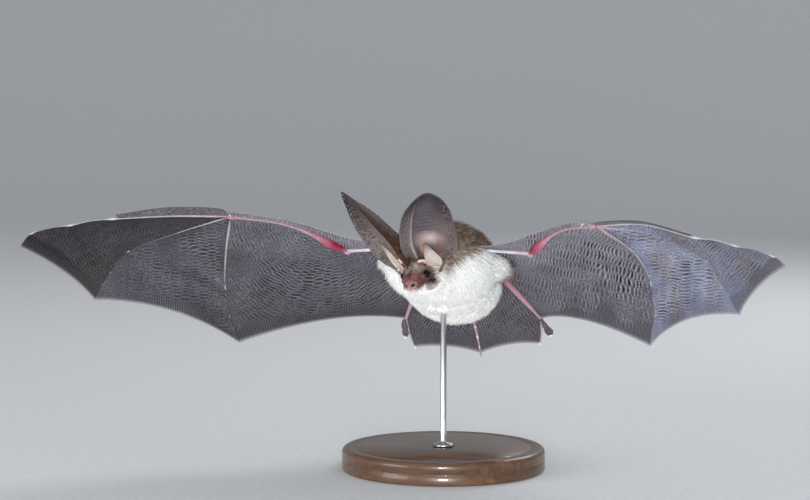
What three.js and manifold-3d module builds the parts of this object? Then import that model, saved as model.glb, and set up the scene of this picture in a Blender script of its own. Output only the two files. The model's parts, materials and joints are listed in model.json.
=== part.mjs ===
// A desert long-eared bat in level flight, life size, as a still museum model on a display stand.
// Millimetres, +Z up. The bat faces -Y and its left side is at +X. The origin is the centre of
// the underside of the stand's base. Bodies with fur are modelled out to the tips of the coat.
import * as THREE from 'three';
import { mergeVertices } from 'three/addons/utils/BufferGeometryUtils.js';
import Module from 'manifold-3d';

const wasm = await Module();
wasm.setup();

// ---- driving dimensions ----
const GAP = 0.32; // between two pieces that meet
const WEB = 0.6; // thickness of the wing and tail membranes
const WEB_SPACE = GAP + 0.15; // from a finger's side to the middle of a membrane's edge
const SHOULDERS = vec(0, -8, 110); // midway between the two shoulder joints
const SHOULDER_HALF = 11;
const HEAD_TURN = { pitch: 8, roll: -8, yaw: -2.5 }; // nose down, crown to the right, face to the right
const HEAD_CENTRE = vec(-0.75, -24.5, -11.5); // from SHOULDERS
const EYE_RADIUS = 1.65;
const EYE_PLACE = { out: 5.9, ahead: 4.4, up: 0.5 }; // in the head's frame
const EAR_WIDTH = 27;
const EAR_WIDEST = 0.33; // the height of its widest part, as a share of its length
const EAR_SHIFT = 1.2; // how far its middle height leans inwards
const EAR_WALL = { foot: 1.5, tip: 0.7 };
const TRAGUS = { length: 17.7, wall: 0.9, ahead: 2.4 };
// The tragus at shares of its height: where its middle lies inwards of the ear's, and half its width.
const TRAGUS_OUTLINE = [[0, -0.4, 2.4], [0.19, -1, 3.7], [0.41, -0.5, 4], [0.58, 0.4, 3.1], [0.83, 2, 1.85],
  [1, 2.5, 0.5]];
const UPPER_ARM = { atShoulder: 2.8, atElbow: 1.3 };
const FOREARM = { radius: 0.9, muscle: 1.6, wrist: 0.75, bow: vec(0, -1.6, 4.2) };
const LEG = { atKnee: 1.7, atAnkle: 1.0 };
const THUMB = { from: 2.3, knuckle: 5.4, tip: 7.6 };
const FOOT = { length: 4.6, heel: 1.15, ball: 1.9, toe: 5.2, fan: 36 }; // fan in degrees
const STAND = { baseRadius: 50, baseHeight: 11, chamfer: 1.6, rodRadius: 1.5, flange: 5, socket: 6 };
const ROD_TOP = 86; // inside the belly

// Bone lengths. A finger's list starts with its metacarpal.
const BONES = {
  upperArm: 36, forearm: 61,
  finger3: [56, 20.4, 19.6, 9.3], finger4: [55, 14, 15.7], finger5: [52, 15.4, 14.7],
  shin: 26.4, calcar: 16.3,
};

// Each finger: how far from the wrist it starts, its radius at both ends, and its steps.
const FINGERS = {
  finger_3: { bones: 'finger3', start: 3, thick: 0.95, thin: 0.45, steps: 16 },
  finger_4: { bones: 'finger4', start: 6, thick: 0.8, thin: 0.42, steps: 13 },
  finger_5: { bones: 'finger5', start: 3.4, thick: 0.85, thin: 0.42, steps: 13 },
};
const FINGER_BOW = vec(0, -0.4, 0.8); // each bone's middle stands forward and up of a straight line
const FINGER_5_ASIDE = { left: vec(3.9, -0.6, -0.9), right: vec(0, 0, 0) }; // where it leaves the wrist
const FINGER_2 = { rise: [3.5, 4.8, 2.1], thick: 0.6, thin: 0.45, steps: 6 }; // it lies over the palm

// Each membrane panel: how far its free edge curves in, how deep the air swells it, and its grid.
// start and end are the shares of the finger's length that it runs along.
const PANELS = {
  web_2_3: { start: 0.06, end: 0.72, hollow: 0, billow: 0, grid: [1, 5] },
  web_3_4: { start: 0.06, end: 1, hollow: 3.2, billow: 2.5, grid: [4, 11] },
  web_4_5: { start: 0.03, end: 1, hollow: 6.5, billow: 4, grid: [5, 10] },
  arm_web: { hollow: 7, billow: 3, grid: [8, 6] },
  front_web: { billow: 0.8, grid: [9, 2] },
  tail_web: { hollow: 2.2, billow: 2, grid: [4, 5] },
};

// How each bone points: degrees forward of straight sideways, and degrees above the level. palmBow is how
// far the middle of each palm bone stands off a straight line, and lead points from the third to the second.
const POSE = {
  left: {
    side: 1,
    upperArm: [1, -3], forearm: [44, 15.5],
    finger3: [[23, -3], [20, -7.5], [25, -10.5], [40, -24]],
    finger4: [[3.5, -15], [22, -53], [36, -46]],
    finger5: [[-66, -34], [28, -81], [-137, -75]],
    palmBow: [vec(0.3, -0.4, 3.2), vec(1.2, -0.2, 4.2), vec(2.8, 0, 2.6)], lead: [90, 15],
    knee: [23.5, 36.5, -19.5], shin: [-40, -45], calcar: [-111, -58],
  },
  right: {
    side: -1,
    upperArm: [4, -4.5], forearm: [36.5, 17],
    finger3: [[26, -1], [28.5, -8], [18, -12], [57, -45]],
    finger4: [[7.5, -18.5], [32, -48], [38, -60]],
    finger5: [[-60, -45], [-164, -82], [-147, -71]],
    palmBow: [vec(0, -0.4, 0.8), vec(0, -0.4, 0.8), vec(-0.6, -0.4, 0.8)], lead: [90, 55],
    knee: [24, 36, -23.5], shin: [-52, -42], calcar: [-130, -70],
  },
};

// How long each ear is, which way it points from base to tip, which way its hollow side faces, how far its
// middle lies behind its edges, at most that share of half its width, and how its upper part narrows.
const EARS = {
  left: {
    length: 46.5, tip: vec(0.17, -0.63, 0.75), opening: vec(0.31, -0.68, -0.66),
    cup: 9, deep: 0.8, taper: 2.3, blunt: 0.5,
  },
  right: {
    length: 48.5, tip: vec(-0.636, -0.27, 0.77), opening: vec(-0.51, -0.59, -0.63),
    cup: 12, deep: 0.95, taper: 1.7, blunt: 0.72,
  },
};

const COLOURS = {
  coatWhite: [0xe4e4e0, 0.95], coatTan: [0x9c8772, 0.95], ear: [0x7a6b66, 0.7], tragus: [0xdcc6ae, 0.7],
  arm: [0xc9808a, 0.55], bone: [0xcdb8b2, 0.5], web: [0x635d6b, 0.6], foot: [0xb9a09c, 0.6],
  eye: [0x0c0908, 0.08], wood: [0x6d4a2f, 0.45], steel: [0xb8bbc0, 0.3],
};

// ---- small helpers ----
function vec(x, y, z) {
  return new THREE.Vector3(x, y, z);
}

function lerp(a, b, t) {
  return a + (b - a) * t;
}

function smooth(t) {
  const c = Math.min(Math.max(t, 0), 1);
  return c * c * (3 - 2 * c);
}

function pointing([forward, rise], side) {
  const f = THREE.MathUtils.degToRad(forward);
  const r = THREE.MathUtils.degToRad(rise);
  return vec(side * Math.cos(r) * Math.cos(f), -Math.cos(r) * Math.sin(f), Math.sin(r));
}

function chain(start, lengths, directions, side) {
  const points = [start.clone()];
  lengths.forEach((length, i) => {
    points.push(points[i].clone().addScaledVector(pointing(directions[i], side), length));
  });
  return points;
}

function indexed(positions, triangles) {
  const g = new THREE.BufferGeometry();
  g.setAttribute('position', new THREE.BufferAttribute(new Float32Array(positions), 3));
  g.setIndex(triangles);
  return g;
}

function bare(geometry) {
  const g = geometry.clone();
  for (const name of Object.keys(g.attributes)) {
    if (name !== 'position') g.deleteAttribute(name);
  }
  return mergeVertices(g, 1e-3);
}

function toSolid(geometry) {
  const g = bare(geometry);
  return new wasm.Manifold(new wasm.Mesh({
    numProp: 3,
    vertProperties: new Float32Array(g.attributes.position.array),
    triVerts: new Uint32Array(g.index.array),
  }));
}

function fromSolid(solid) {
  const m = solid.getMesh();
  return bare(indexed(Array.from(m.vertProperties), Array.from(m.triVerts)));
}

function largest(solid) {
  const pieces = solid.decompose();
  return pieces.reduce((a, b) => (b.volume() > a.volume() ? b : a));
}

function cut(geometry, ...tools) {
  return fromSolid(largest(tools.reduce((s, tool) => s.subtract(toSolid(tool)), toSolid(geometry))));
}

function join(...geometries) {
  return fromSolid(geometries.map(toSolid).reduce((a, b) => a.add(b)));
}

// ---- shape makers ----

// A closed tube along a curve; radius(u) gives its radius, flat squashes it along the frame normal.
function tube(curve, radius, steps, sides, flat = 1) {
  const frames = curve.computeFrenetFrames(steps, false);
  const positions = [];
  const triangles = [];
  for (let i = 0; i <= steps; i++) {
    const u = i / steps;
    const p = curve.getPointAt(u);
    for (let j = 0; j < sides; j++) {
      const a = (2 * Math.PI * j) / sides;
      const q = p.clone()
        .addScaledVector(frames.normals[i], radius(u) * Math.cos(a) * flat)
        .addScaledVector(frames.binormals[i], radius(u) * Math.sin(a));
      positions.push(q.x, q.y, q.z);
    }
  }
  const ends = [curve.getPointAt(0), curve.getPointAt(1)];
  const tangents = [frames.tangents[0].clone().negate(), frames.tangents[steps].clone()];
  ends.forEach((e, k) => {
    e.addScaledVector(tangents[k], 0.5 * radius(k));
    positions.push(e.x, e.y, e.z);
  });
  const first = (steps + 1) * sides;
  for (let j = 0; j < sides; j++) {
    const n = (j + 1) % sides;
    for (let i = 0; i < steps; i++) {
      const a = i * sides;
      const b = a + sides;
      triangles.push(a + j, a + n, b + n, a + j, b + n, b + j);
    }
    triangles.push(first, n, j, first + 1, steps * sides + j, steps * sides + n);
  }
  return indexed(positions, triangles);
}

function curveThrough(points) {
  return new THREE.CatmullRomCurve3(points, false, 'centripetal');
}

// A rounded body round a centre: the soft union of ellipsoids that all hold that centre.
// Each blob is { at, size, turn } with its place, half sizes and turn about X in degrees.
function body(centre, blobs, detail, grow = 0, sharp = 9) {
  const g = bare(new THREE.IcosahedronGeometry(1, detail));
  const pos = g.attributes.position;
  for (let i = 0; i < pos.count; i++) {
    const d = vec(pos.getX(i), pos.getY(i), pos.getZ(i)).normalize();
    const reaches = blobs.map((b) => reach(centre, d, b));
    const total = (power) => reaches.reduce((sum, r) => sum + r ** power, 0);
    d.multiplyScalar(total(sharp + 1) / total(sharp) + grow).add(centre);
    pos.setXYZ(i, d.x, d.y, d.z);
  }
  return g;
}

// How far a ray from an inner point goes before it leaves a blob.
function reach(from, direction, { at, size, turn = 0 }) {
  const x = vec(1, 0, 0);
  const angle = THREE.MathUtils.degToRad(-turn);
  const o = from.clone().sub(at).applyAxisAngle(x, angle).divide(size);
  const d = direction.clone().applyAxisAngle(x, angle).divide(size);
  const a = d.dot(d);
  const b = o.dot(d);
  const c = o.dot(o) - 1;
  if (b * b - a * c < 0) return 0.01;
  return Math.max((-b + Math.sqrt(b * b - a * c)) / a, 0.01);
}

// A sheet over a grid of points: place(s, t) and thickness(s, t), with s and t from 0 to 1.
function sheet(place, across, along, thickness) {
  const grid = [];
  for (let i = 0; i <= across; i++) {
    grid.push([]);
    for (let j = 0; j <= along; j++) grid[i].push(place(i / across, j / along));
  }
  const at = (i, j) => grid[Math.min(Math.max(i, 0), across)][Math.min(Math.max(j, 0), along)];
  const layers = [1, -1].map((face) => {
    const list = [];
    for (let i = 0; i <= across; i++) {
      for (let j = 0; j <= along; j++) {
        const ds = at(i + 1, j).clone().sub(at(i - 1, j));
        const dt = at(i, j + 1).clone().sub(at(i, j - 1));
        const n = ds.cross(dt).normalize();
        const half = (face * thickness(i / across, j / along)) / 2;
        list.push(grid[i][j].clone().addScaledVector(n, half));
      }
    }
    return list;
  });
  const row = along + 1;
  const count = layers[0].length;
  const positions = layers.flat().flatMap((p) => [p.x, p.y, p.z]);
  const triangles = [];
  for (let i = 0; i < across; i++) {
    for (let j = 0; j < along; j++) {
      const a = i * row + j;
      const [b, c, d] = [a + row, a + row + 1, a + 1];
      triangles.push(a, b, c, a, c, d);
      triangles.push(count + a, count + c, count + b, count + a, count + d, count + c);
    }
  }
  const rim = [];
  for (let i = 0; i < across; i++) rim.push(i * row);
  for (let j = 0; j < along; j++) rim.push(across * row + j);
  for (let i = across; i > 0; i--) rim.push(i * row + along);
  for (let j = along; j > 0; j--) rim.push(j);
  rim.forEach((a, k) => {
    const b = rim[(k + 1) % rim.length];
    triangles.push(a, count + a, count + b, a, count + b, b);
  });
  return indexed(positions, triangles);
}

// A patch between four edges: near(s), far(s), first(t) and last(t), which share their corners.
function patch(near, far, first, last) {
  const corner = [near(0), near(1), far(0), far(1)];
  return (s, t) => {
    const p = vec(0, 0, 0)
      .addScaledVector(near(s), 1 - t).addScaledVector(far(s), t)
      .addScaledVector(first(t), 1 - s).addScaledVector(last(t), s);
    const weights = [(1 - s) * (1 - t), s * (1 - t), (1 - s) * t, s * t];
    corner.forEach((c, k) => p.addScaledVector(c, -weights[k]));
    return p;
  };
}

// The line beside a bone that a membrane starts from, on the side where the other bone lies.
function beside({ curve, radius }, other, start, end = 1) {
  return (t) => {
    const u = lerp(start, end, t);
    const p = curve.getPointAt(u);
    const along = curve.getTangentAt(u);
    const away = other.getPointAt(u).sub(p);
    away.addScaledVector(along, -away.dot(along)).normalize();
    return p.addScaledVector(away, radius(u) + WEB_SPACE);
  };
}

// A free edge between two points that curves in towards a third.
function freeEdge(a, b, towards, depth) {
  const middle = a.clone().lerp(b, 0.5);
  const pull = towards.clone().sub(middle).normalize();
  return (s) => a.clone().lerp(b, s).addScaledVector(pull, depth * 4 * s * (1 - s));
}

// A membrane panel: the patch, swollen to its back by the air under it.
function web(place, { billow, grid }) {
  const swollen = (s, t) => {
    const e = 0.02;
    const [s0, s1] = [Math.max(s - e, 0), Math.min(s + e, 1)];
    const [t0, t1] = [Math.max(t - e, 0), Math.min(t + e, 1)];
    const n = place(s1, t).sub(place(s0, t)).cross(place(s, t1).sub(place(s, t0))).normalize();
    const back = Math.sign(n.z + n.y) || 1;
    const depth = billow * Math.sin(Math.PI * s) ** 1.2 * Math.sin(Math.PI * Math.min(t * 0.8 + 0.1, 1));
    return place(s, t).addScaledVector(n, back * depth);
  };
  return sheet(swollen, ...grid, () => WEB);
}

// ---- the trunk, neck and head ----
const fromShoulders = (x, y, z) => vec(x, y, z).add(SHOULDERS);
const bothSides = (make) => [1, -1].map(make);

const TRUNK_CENTRE = fromShoulders(0, 14, -13);
const TRUNK_BLOBS = [
  { at: fromShoulders(0, 4, -7), size: vec(30, 22, 20.5), turn: -26 }, // chest and back
  { at: fromShoulders(0, 11.2, -13.3), size: vec(27.5, 20, 20.5), turn: -32 }, // waist
  { at: fromShoulders(0, 18, -18), size: vec(26, 24, 19), turn: -36 }, // belly and rump
  ...bothSides((s) => ({ at: fromShoulders(s * 12, 8, -7), size: vec(23.5, 14, 9), turn: -25 })), // armpits
];
const trunkBody = (grow) => body(TRUNK_CENTRE, TRUNK_BLOBS, 5, grow);

const headMatrix = new THREE.Matrix4().makeRotationFromEuler(new THREE.Euler(
  ...[HEAD_TURN.pitch, HEAD_TURN.roll, HEAD_TURN.yaw].map(THREE.MathUtils.degToRad), 'ZXY'));
headMatrix.setPosition(HEAD_CENTRE.clone().add(SHOULDERS));
const inHead = (x, y, z) => vec(x, y, z).applyMatrix4(headMatrix);

const HEAD_BLOBS = [
  { at: vec(0, 1.5, 0.6), size: vec(8.8, 9.6, 7.8) }, // skull with its coat
  { at: vec(0, -4.5, -1.6), size: vec(5.6, 9.4, 4.9), turn: 6 }, // muzzle
  { at: vec(0, -6.4, -2.6), size: vec(4.0, 8.0, 3.0), turn: 4 }, // nose pad
  { at: vec(0, -3, -4.2), size: vec(4.4, 8.2, 3.4), turn: -14 }, // lower jaw
  { at: vec(0, -7.4, -5), size: vec(3.3, 4.9, 2.5) }, // chin
  ...bothSides((s) => ({ at: vec(s * 3.4, 0, -3), size: vec(6, 6.6, 5.2) })), // cheeks
];
function headBody(grow) {
  return body(vec(0, -1.5, -1.6), HEAD_BLOBS, 5, grow).applyMatrix4(headMatrix);
}

const eyeBall = (side, grow) => {
  const g = new THREE.SphereGeometry(EYE_RADIUS + grow, 9, 6);
  const p = inHead(side * EYE_PLACE.out, -EYE_PLACE.ahead, EYE_PLACE.up);
  return bare(g).translate(p.x, p.y, p.z);
};

const NECK_CENTRE = fromShoulders(-0.6, -12, -9);
function neckBody(grow) {
  const blobs = [
    { at: fromShoulders(-0.8, -13, -9), size: vec(12.5, 11, 12.5), turn: -10 },
    { at: fromShoulders(0, -7, -8), size: vec(17, 10, 14.5), turn: -20 },
  ];
  return body(NECK_CENTRE, blobs, 2, grow);
}

// ---- the ears ----
function earFrame(side) {
  const ear = side > 0 ? EARS.left : EARS.right;
  const up = ear.tip.clone().normalize();
  const front = ear.opening.clone().addScaledVector(up, -ear.opening.dot(up)).normalize();
  const inward = up.clone().cross(front).multiplyScalar(-side).normalize();
  return { ...ear, base: inHead(side * 6.2, 3.6, 3.4), up, front, inward };
}

// Half the ear's width at a height from 0 at the base to 1 at the tip.
function earHalfWidth(h, taper, blunt) {
  const above = (h - EAR_WIDEST) / (1 - EAR_WIDEST);
  const shape = h > EAR_WIDEST ? Math.max(1 - above ** taper, 0) ** blunt
    : lerp(0.74, 1, smooth(h / EAR_WIDEST));
  return Math.max(0.5 * EAR_WIDTH * shape, 0.3);
}

// The ear's wall is an arc round its length; v goes from -1 at the outer edge to 1 at the inner.
function earPoint(side, v, h) {
  const { length, base, up, front, inward, cup: most, deep, taper, blunt } = earFrame(side);
  const half = earHalfWidth(h, taper, blunt);
  const turn = lerp(1.5, 1.1, smooth(h / 0.6));
  const foot = v < 0 ? lerp(0.4, 1, smooth(h / 0.3)) : 1; // the outer edge runs in to the cheek
  const open = lerp(1, 0.45, smooth((h - 0.55) / 0.4)); // the tip is flatter
  const cup = Math.min(most * lerp(1, 0.6, h), half * deep) * open;
  const depth = (cup * (Math.cos(v * turn) - Math.cos(turn))) / (1 - Math.cos(turn));
  const lean = EAR_SHIFT * Math.sin(Math.PI * h);
  return base.clone()
    .addScaledVector(up, h * length)
    .addScaledVector(inward, (foot * half * Math.sin(v * turn)) / Math.sin(turn) + lean)
    .addScaledVector(front, cup / 2 - depth);
}

function earShape(side, grow) {
  const reach = 1 + 0.06 * grow;
  const place = (s, t) => earPoint(side, (2 * s - 1) * reach, 0.995 * Math.sin((Math.PI / 2) * t) ** 0.9);
  return sheet(place, 8, 9, (s, t) => lerp(EAR_WALL.foot, EAR_WALL.tip, smooth(t * 1.6)) + grow);
}

function outlineAt(t) {
  const next = Math.max(TRAGUS_OUTLINE.findIndex(([height]) => height >= t), 1);
  const [low, high] = [TRAGUS_OUTLINE[next - 1], TRAGUS_OUTLINE[next]];
  const share = (t - low[0]) / (high[0] - low[0]);
  return [lerp(low[1], high[1], share), lerp(low[2], high[2], share)];
}

function tragusShape(side) {
  const { base, up, front, inward } = earFrame(side);
  const foot = base.clone().addScaledVector(front, TRAGUS.ahead);
  const place = (s, t) => {
    const [middle, half] = outlineAt(t);
    const v = 2 * s - 1;
    return foot.clone()
      .addScaledVector(up, t * TRAGUS.length - 0.3)
      .addScaledVector(inward, middle + v * half)
      .addScaledVector(front, 0.9 * v * v + 0.4 * t);
  };
  return sheet(place, 4, 6, () => TRAGUS.wall);
}

// ---- one wing, with the leg and half the tail membrane on its side ----
const boneRadius = (thick, thin, joints = []) => (u) => {
  const knob = joints.reduce((k, j) => k + 0.22 * Math.exp(-(((u - j) / 0.02) ** 2)), 0);
  return (lerp(thick, thin, u) + knob) * Math.sqrt(Math.min(1, 0.35 + 12 * Math.min(u, 1 - u)));
};

function jointPlaces(lengths) {
  const total = lengths.reduce((a, b) => a + b, 0);
  let sum = 0;
  return lengths.slice(0, -1).map((l) => (sum += l) / total);
}

// Points along straight bones, with one more in the middle of each, bowed a little.
function bowed(points, bows) {
  const list = [points[0]];
  for (let i = 1; i < points.length; i++) {
    list.push(points[i - 1].clone().lerp(points[i], 0.5).add(bows[i - 1]), points[i]);
  }
  return curveThrough(list);
}

function skeleton(pose) {
  const { side } = pose;
  const shoulder = fromShoulders(side * SHOULDER_HALF, 0, 0);
  const arm = [BONES.upperArm, BONES.forearm];
  const [, elbow, wrist] = chain(shoulder, arm, [pose.upperArm, pose.forearm], side);
  const fingers = {};
  for (const { bones } of Object.values(FINGERS)) {
    fingers[bones] = chain(wrist, BONES[bones], pose[bones], side);
  }
  const knee = fromShoulders(side * pose.knee[0], pose.knee[1], pose.knee[2]);
  const [, ankle, calcarTip] = chain(knee, [BONES.shin, BONES.calcar], [pose.shin, pose.calcar], side);
  return { side, shoulder, elbow, wrist, ...fingers, knee, ankle, calcarTip };
}

const TAIL = [fromShoulders(0, 30, -25), fromShoulders(0, 43, -32.5), fromShoulders(0, 54, -41),
  fromShoulders(0, 61.5, -51.5), fromShoulders(0, 67, -61.6)];
const tailCurve = curveThrough(TAIL);
const tailTube = (grow) => tube(tailCurve, (u) => boneRadius(1.5, 0.5)(u) + grow, 8, 5);

// The foot hangs from the ankle, its five toes spread and hooked into claws.
const footDirection = (side) => (side > 0 ? vec(0.5, 0.2, -0.85) : vec(0, 0.2, -0.93)).normalize();
const heelOf = (side, ankle) => ankle.clone().add(vec(side * 0.7, -0.4, -1.5));

function soleShape(side, ankle, grow) {
  const heel = heelOf(side, ankle);
  const sole = curveThrough([heel, heel.clone().addScaledVector(footDirection(side), FOOT.length)]);
  return tube(sole, (u) => lerp(FOOT.heel, FOOT.ball, smooth(u)) + grow, 2, 7, 0.75);
}

function footShape(side, ankle) {
  const d = footDirection(side);
  const ball = heelOf(side, ankle).addScaledVector(d, FOOT.length - 0.6);
  const across = vec(0.95, 0.3 * side, 0.3 * side).normalize();
  const toes = [-2, -1, 0, 1, 2].map((n) => {
    const angle = THREE.MathUtils.degToRad((n * FOOT.fan) / 4);
    const out = d.clone().multiplyScalar(Math.cos(angle)).addScaledVector(across, Math.sin(angle));
    const root = ball.clone().addScaledVector(across, n * 0.62);
    const knuckle = root.clone().addScaledVector(out, FOOT.toe * 0.6);
    const hook = root.clone().addScaledVector(out, FOOT.toe).add(vec(0, -0.9, -0.2));
    return tube(curveThrough([root, knuckle, hook]), (u) => lerp(0.55, 0.32, u), 2, 4);
  });
  return join(soleShape(side, ankle, 0), ...toes);
}

function wing(pose) {
  const k = skeleton(pose);
  const { side, shoulder, elbow, wrist, knee, ankle, calcarTip } = k;
  const nodes = {};

  // arm
  const upperCurve = new THREE.LineCurve3(shoulder, elbow);
  const forearmCurve = bowed([elbow, wrist], [FOREARM.bow]);
  const upperRadius = (u) => lerp(UPPER_ARM.atShoulder, UPPER_ARM.atElbow, u);
  const upperTube = (grow) => tube(upperCurve, (u) => upperRadius(u) + grow, 3, 7);
  const muscle = (u) => FOREARM.muscle * Math.exp(-(((u - 0.16) / 0.12) ** 2));
  const wristKnob = (u) => FOREARM.wrist * Math.exp(-(((u - 1) / 0.05) ** 2));
  const forearmRadius = (u) => FOREARM.radius + muscle(u) + wristKnob(u);
  const forearmTube = (grow) => tube(forearmCurve, (u) => forearmRadius(u) + grow, 11, 7);
  nodes.forearm = forearmTube(0);
  nodes.upper_arm = cut(upperTube(0), forearmTube(GAP), trunkBody(GAP));

  // fingers
  const lines = {};
  const addFinger = (name, curve, radius, steps) => {
    lines[name] = { curve, radius };
    nodes[name] = tube(curve, radius, steps, 5);
  };
  for (const [n, [name, { bones, start, thick, thin, steps }]] of Object.entries(FINGERS).entries()) {
    const [root, knuckle, ...rest] = k[bones];
    const first = root.clone().lerp(knuckle, start / BONES[bones][0]);
    if (name === 'finger_5') first.add(side > 0 ? FINGER_5_ASIDE.left : FINGER_5_ASIDE.right);
    const bows = [pose.palmBow[n], FINGER_BOW, FINGER_BOW, FINGER_BOW];
    const radius = boneRadius(thick, thin, jointPlaces(BONES[bones]));
    addFinger(name, bowed([first, knuckle, ...rest], bows), radius, steps);
  }
  const lead = pointing(pose.lead, side);
  const overPalm = (u, rise) => wrist.clone().lerp(k.finger3[1], u).addScaledVector(lead, rise)
    .addScaledVector(pose.palmBow[0], 4 * u * (1 - u));
  const second = FINGER_2.rise.map((rise, i) => overPalm([0.05, 0.5, 0.97][i], rise));
  const thinBone = boneRadius(FINGER_2.thick, FINGER_2.thin);
  addFinger('finger_2', curveThrough(second), thinBone, FINGER_2.steps);
  const thumb = pointing([104, 12], side);
  nodes.thumb = tube(curveThrough([
    wrist.clone().addScaledVector(thumb, THUMB.from),
    wrist.clone().addScaledVector(thumb, THUMB.knuckle).add(vec(-side * 0.6, 0, 0.6)),
    wrist.clone().addScaledVector(thumb, THUMB.tip).add(vec(-side * 1.6, 0, -0.9)),
  ]), boneRadius(0.95, 0.45), 4, 5);

  // leg, foot and calcar
  const legCurve = new THREE.LineCurve3(knee, ankle);
  const legTube = (grow) => tube(legCurve, (u) => lerp(LEG.atKnee, LEG.atAnkle, u) + grow, 2, 6);
  nodes.leg = cut(legTube(0), trunkBody(GAP));
  nodes.foot = cut(footShape(side, ankle), legTube(GAP));
  const calcarCurve = curveThrough([ankle.clone().lerp(calcarTip, 0.14),
    ankle.clone().lerp(calcarTip, 0.55).add(vec(side * 0.6, 0, 0)), calcarTip]);
  const calcarTube = (grow) => tube(calcarCurve, (u) => boneRadius(0.7, 0.42)(u) + grow, 4, 5);
  nodes.calcar = cut(calcarTube(0), legTube(GAP), soleShape(side, ankle, GAP));

  // wing membranes between the fingers
  const fan = (a, b, panel) => {
    const first = beside(lines[a], lines[b].curve, panel.start, panel.end);
    const last = beside(lines[b], lines[a].curve, panel.start, panel.end);
    const edge = freeEdge(first(1), last(1), wrist, panel.hollow);
    return web(patch((s) => first(0).lerp(last(0), s), edge, first, last), panel);
  };
  lines.palm = { curve: curveThrough([0.07, 0.5, 0.96].map((u) => overPalm(u, 0.4))), radius: () => 0.9 };
  nodes.web_2_3 = fan('finger_2', 'palm', PANELS.web_2_3);
  nodes.web_3_4 = fan('finger_3', 'finger_4', PANELS.web_3_4);
  nodes.web_4_5 = fan('finger_4', 'finger_5', PANELS.web_4_5);

  // the membrane between arm, little finger, body and leg
  const outer = beside(lines.finger_5, legCurve, 0);
  const elbowAt = BONES.upperArm / (BONES.upperArm + BONES.forearm);
  const armLine = (s) => (s < elbowAt ? upperCurve.getPointAt(s / elbowAt)
    : forearmCurve.getPointAt((s - elbowAt) / (1 - elbowAt)));
  const armToFinger = (s) => armLine(s).lerp(outer(0), smooth((s - 0.85) / 0.15));
  const flank = curveThrough([shoulder, fromShoulders(side * 15, 20, -12), knee, ankle]);
  const rear = freeEdge(ankle, outer(1), elbow, PANELS.arm_web.hollow);
  const armWeb = web(patch(armToFinger, rear, (t) => flank.getPointAt(t), outer), PANELS.arm_web);
  nodes.arm_web = cut(armWeb, upperTube(GAP), forearmTube(GAP), trunkBody(GAP), legTube(GAP),
    soleShape(side, ankle, GAP));

  // the membrane in front of the arm
  const front = curveThrough([fromShoulders(side * 12, -8, 0), fromShoulders(side * 34, -11, 2.5),
    elbow.clone().add(vec(0, -12, 8.5)), forearmCurve.getPointAt(0.5).add(vec(0, -4, 3)),
    wrist.clone().add(vec(-side * 3, -2.6, 2.4))]);
  const frontWeb = web(patch(armLine, (s) => front.getPointAt(s),
    (t) => shoulder.clone().lerp(front.getPointAt(0), t),
    (t) => wrist.clone().lerp(front.getPointAt(1), t)), PANELS.front_web);
  nodes.front_web = cut(frontWeb, upperTube(GAP), forearmTube(GAP), trunkBody(GAP), neckBody(GAP));

  // half of the tail membrane
  const legLine = curveThrough([knee, ankle, calcarTip]);
  const tailEdge = freeEdge(tailCurve.getPointAt(1), calcarTip, knee, PANELS.tail_web.hollow);
  const tailWeb = web(patch((s) => tailCurve.getPointAt(0).lerp(knee, s), tailEdge,
    (t) => tailCurve.getPointAt(t), (t) => legLine.getPointAt(t)), PANELS.tail_web);
  nodes.tail_web = cut(tailWeb, tailTube(GAP), legTube(GAP), calcarTube(GAP), trunkBody(GAP),
    soleShape(side, ankle, GAP));
  return nodes;
}

// ---- the stand ----
function standBase() {
  const { baseRadius: r, baseHeight: h, chamfer: c, rodRadius, socket } = STAND;
  const hole = rodRadius + GAP;
  const profile = [[0, 0], [r - 0.8, 0], [r, 0.8], [r, h - c], [r - c, h], [hole, h], [hole, h - socket],
    [0, h - socket]];
  return lathe(profile, 28);
}

function standRod() {
  const { baseHeight: h, rodRadius, flange, socket } = STAND;
  const profile = [[0, h - socket + GAP], [rodRadius, h - socket + GAP], [rodRadius, h + GAP],
    [flange, h + GAP], [flange, h + 1.2], [rodRadius + 1.2, h + 2.4], [rodRadius, h + 4],
    [rodRadius, ROD_TOP], [0, ROD_TOP]];
  return lathe(profile, 8);
}

function lathe(profile, segments) {
  const g = new THREE.LatheGeometry(profile.map(([x, y]) => new THREE.Vector2(x, y)), segments);
  return bare(g.rotateX(Math.PI / 2));
}

// ---- the whole model ----
const model = new THREE.Group();

function add(name, geometry, [color, roughness], metalness = 0) {
  const g = geometry.clone();
  if (toSolid(g).volume() < 0) {
    const index = Array.from(g.index.array);
    for (let i = 0; i < index.length; i += 3) [index[i], index[i + 1]] = [index[i + 1], index[i]];
    g.setIndex(index);
  }
  g.computeVertexNormals();
  const mesh = new THREE.Mesh(g, new THREE.MeshStandardMaterial({ color, roughness, metalness }));
  mesh.name = name;
  model.add(mesh);
}

const FINISH = {
  upper_arm: 'arm', forearm: 'arm', thumb: 'bone', finger_2: 'bone', finger_3: 'bone', finger_4: 'bone',
  finger_5: 'bone', leg: 'arm', foot: 'foot', calcar: 'bone', web_2_3: 'web', web_3_4: 'web', web_4_5: 'web',
  arm_web: 'web', front_web: 'web', tail_web: 'web',
};

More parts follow.
